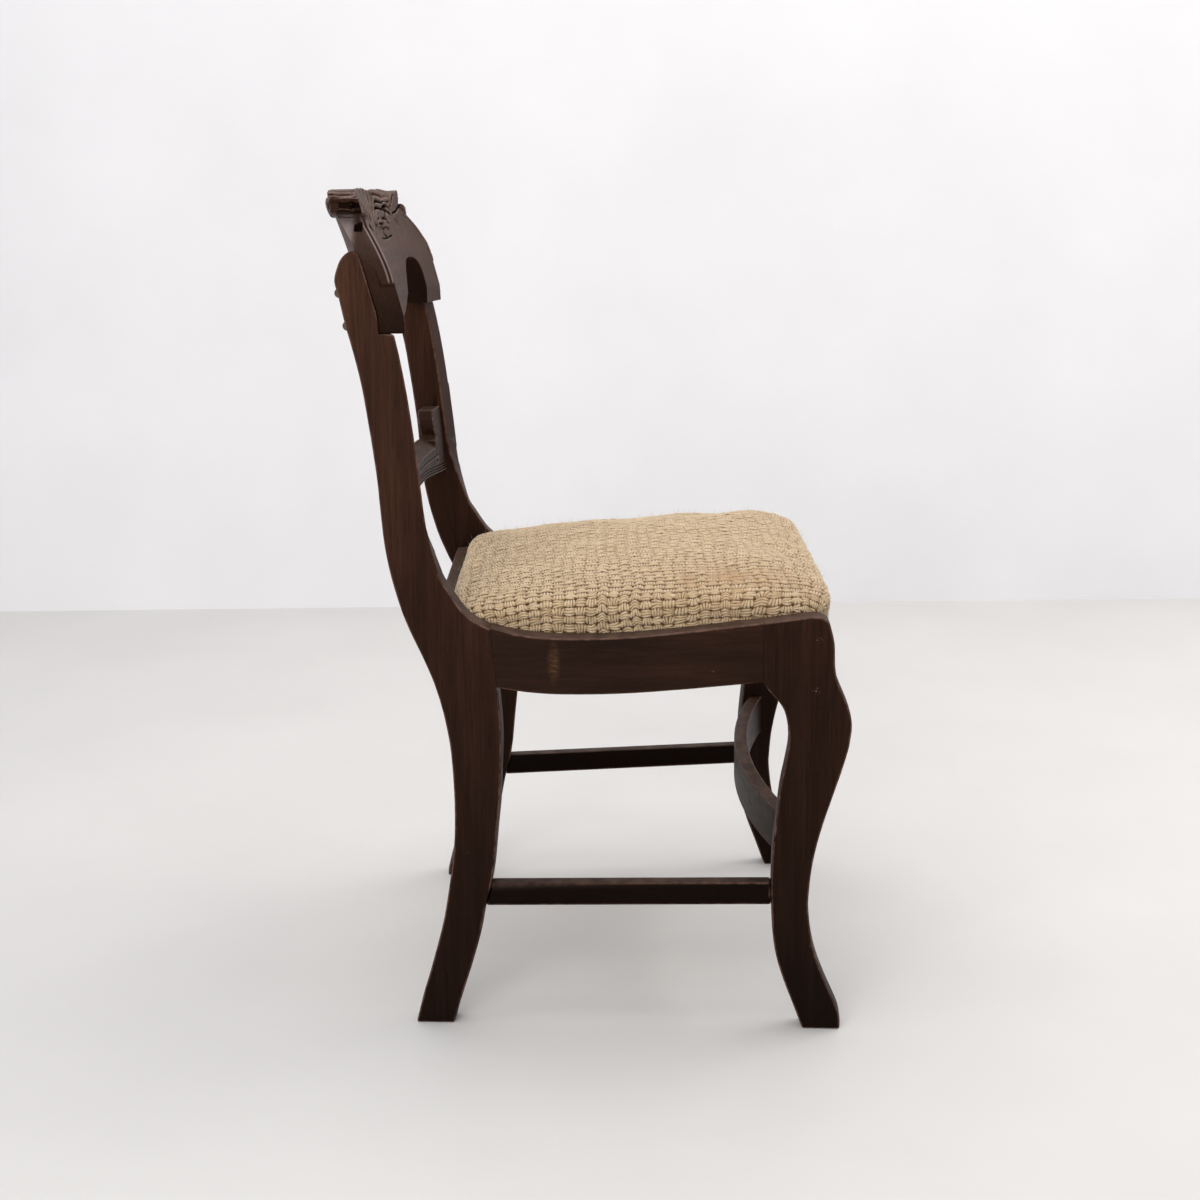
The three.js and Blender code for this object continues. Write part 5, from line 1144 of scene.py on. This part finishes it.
def area_light(name, place, aim, size, watts, color):
    """A rectangular light that aims at a place."""
    data = bpy.data.lights.new(name, "AREA")
    data.shape = "RECTANGLE"
    data.size, data.size_y = size
    data.energy = watts
    data.color = color
    lamp = new_object(name, data)
    lamp.location = place
    lamp.rotation_euler = (Vector(aim) - Vector(place)).to_track_quat("-Z", "Y").to_euler()
    return lamp


def make_studio():
    """A floor, a wall beyond the chair, an even room light and three area lights."""
    far, wall, top = STAGE_REACH, WALL_DISTANCE, WALL_HEIGHT
    floor = [(-far, -far, 0), (far, -far, 0), (far, far, 0), (-far, far, 0)]
    flat_stage("floor", floor, FLOOR_COLOR, FLOOR_ROUGHNESS)
    backdrop = [(wall, -far, 0), (wall, -far, top), (wall, far, top), (wall, far, 0)]
    flat_stage("backdrop", backdrop, WALL_COLOR, WALL_ROUGHNESS)
    world = bpy.data.worlds.new("soft_room")
    world.use_nodes = True
    background = world.node_tree.nodes["Background"]
    background.inputs["Color"].default_value = ROOM_COLOR
    background.inputs["Strength"].default_value = ROOM_STRENGTH
    bpy.context.scene.world = world
    for light in LIGHTS:
        area_light(*light)


# The chair
def dress_frame():
    """The softened boards and rails, and the two carved rails."""
    # The painted light levels are painted light: one stain, lighter or darker for each part as the light
    # falls on it.
    post = stained_wood("stained_wood_post", "Z", painted_light_level=1.12, sheen=0.08)
    leg = stained_wood("stained_wood_leg", "Z", painted_light_level=0.80, sheen=0.08)
    lengthwise = stained_wood("stained_wood_lengthwise", "Y", painted_light_level=0.74, sheen=0.10)
    stretcher = stained_wood("stained_wood_stretcher", "Y", painted_light_level=0.28, sheen=0.06)
    crosswise = stained_wood("stained_wood_crosswise", "X", painted_light_level=0.9)
    carved = stained_wood(
        "stained_wood_carved", "X", painted_light_level=1.22, sheen=0.22, roughness=0.48, top_sheen_reach=0.35,
        worn_and_highlit=CARVED_RIDGE_AND_HIGHLIGHT,
    )
    middle = stained_wood(
        "stained_wood_middle", "X", painted_light_level=0.70, sheen=0.12, roughness=0.50, top_sheen_reach=0.35,
        worn_and_highlit=CARVED_RIDGE_AND_HIGHLIGHT,
    )
    for side in ("left", "right"):
        softened("post_" + side, post, UPRIGHT_ROUND)
        softened("front_leg_" + side, leg, UPRIGHT_ROUND)
        softened("side_rail_" + side, lengthwise, RAIL_ROUND)
        softened("side_stretcher_" + side, stretcher, STRETCHER_ROUND)
    for node in ("front_stretcher", "front_rail", "rear_rail"):
        softened(node, crosswise, CROSS_ROUND)
    crest_rail(carved)
    mid_rail(middle)


def dress_crest_screws():
    """Round heads on the four screws through the stiles."""
    steel = metal("dark_screw", color=(0.14, 0.125, 0.11), roughness=0.48, spots=(0.05, 0.03, 0.02))
    for number in range(1, CREST_SCREWS + 1):
        domed_screw(f"crest_screw_{number}", steel)


def dress_inner_pieces():
    """Materials for the pieces that stay as they are in the frame."""
    looks = {
        "block_pine": plain_wood("block_pine", dark=(0.20, 0.125, 0.070), light=(0.36, 0.25, 0.15)),
        "dowel_beech": plain_wood("dowel_beech", dark=(0.33, 0.20, 0.11), light=(0.48, 0.32, 0.20)),
        "seat_board_plywood": plain_wood(
            "seat_board_plywood", dark=(0.36, 0.25, 0.14), light=(0.52, 0.39, 0.24), grain="Y",
        ),
        "steel_screw": metal(
            "steel_screw", color=(0.42, 0.42, 0.43), roughness=0.38, spots=(0.12, 0.08, 0.06),
        ),
    }
    slots = {entry["node"]: entry["material_slot"] for entry in frame["record"]["subparts"]}
    for node, kept in frame["nodes"].items():
        look = looks.get(slots[node])
        if look is not None:
            kept.data.materials.clear()
            kept.data.materials.append(look)


make_camera()
make_studio()
dress_frame()
seat_cover()
seat_filling(cotton("cotton_wadding"))
dress_crest_screws()
dress_inner_pieces()

bpy.context.scene.view_settings.view_transform = "Standard"
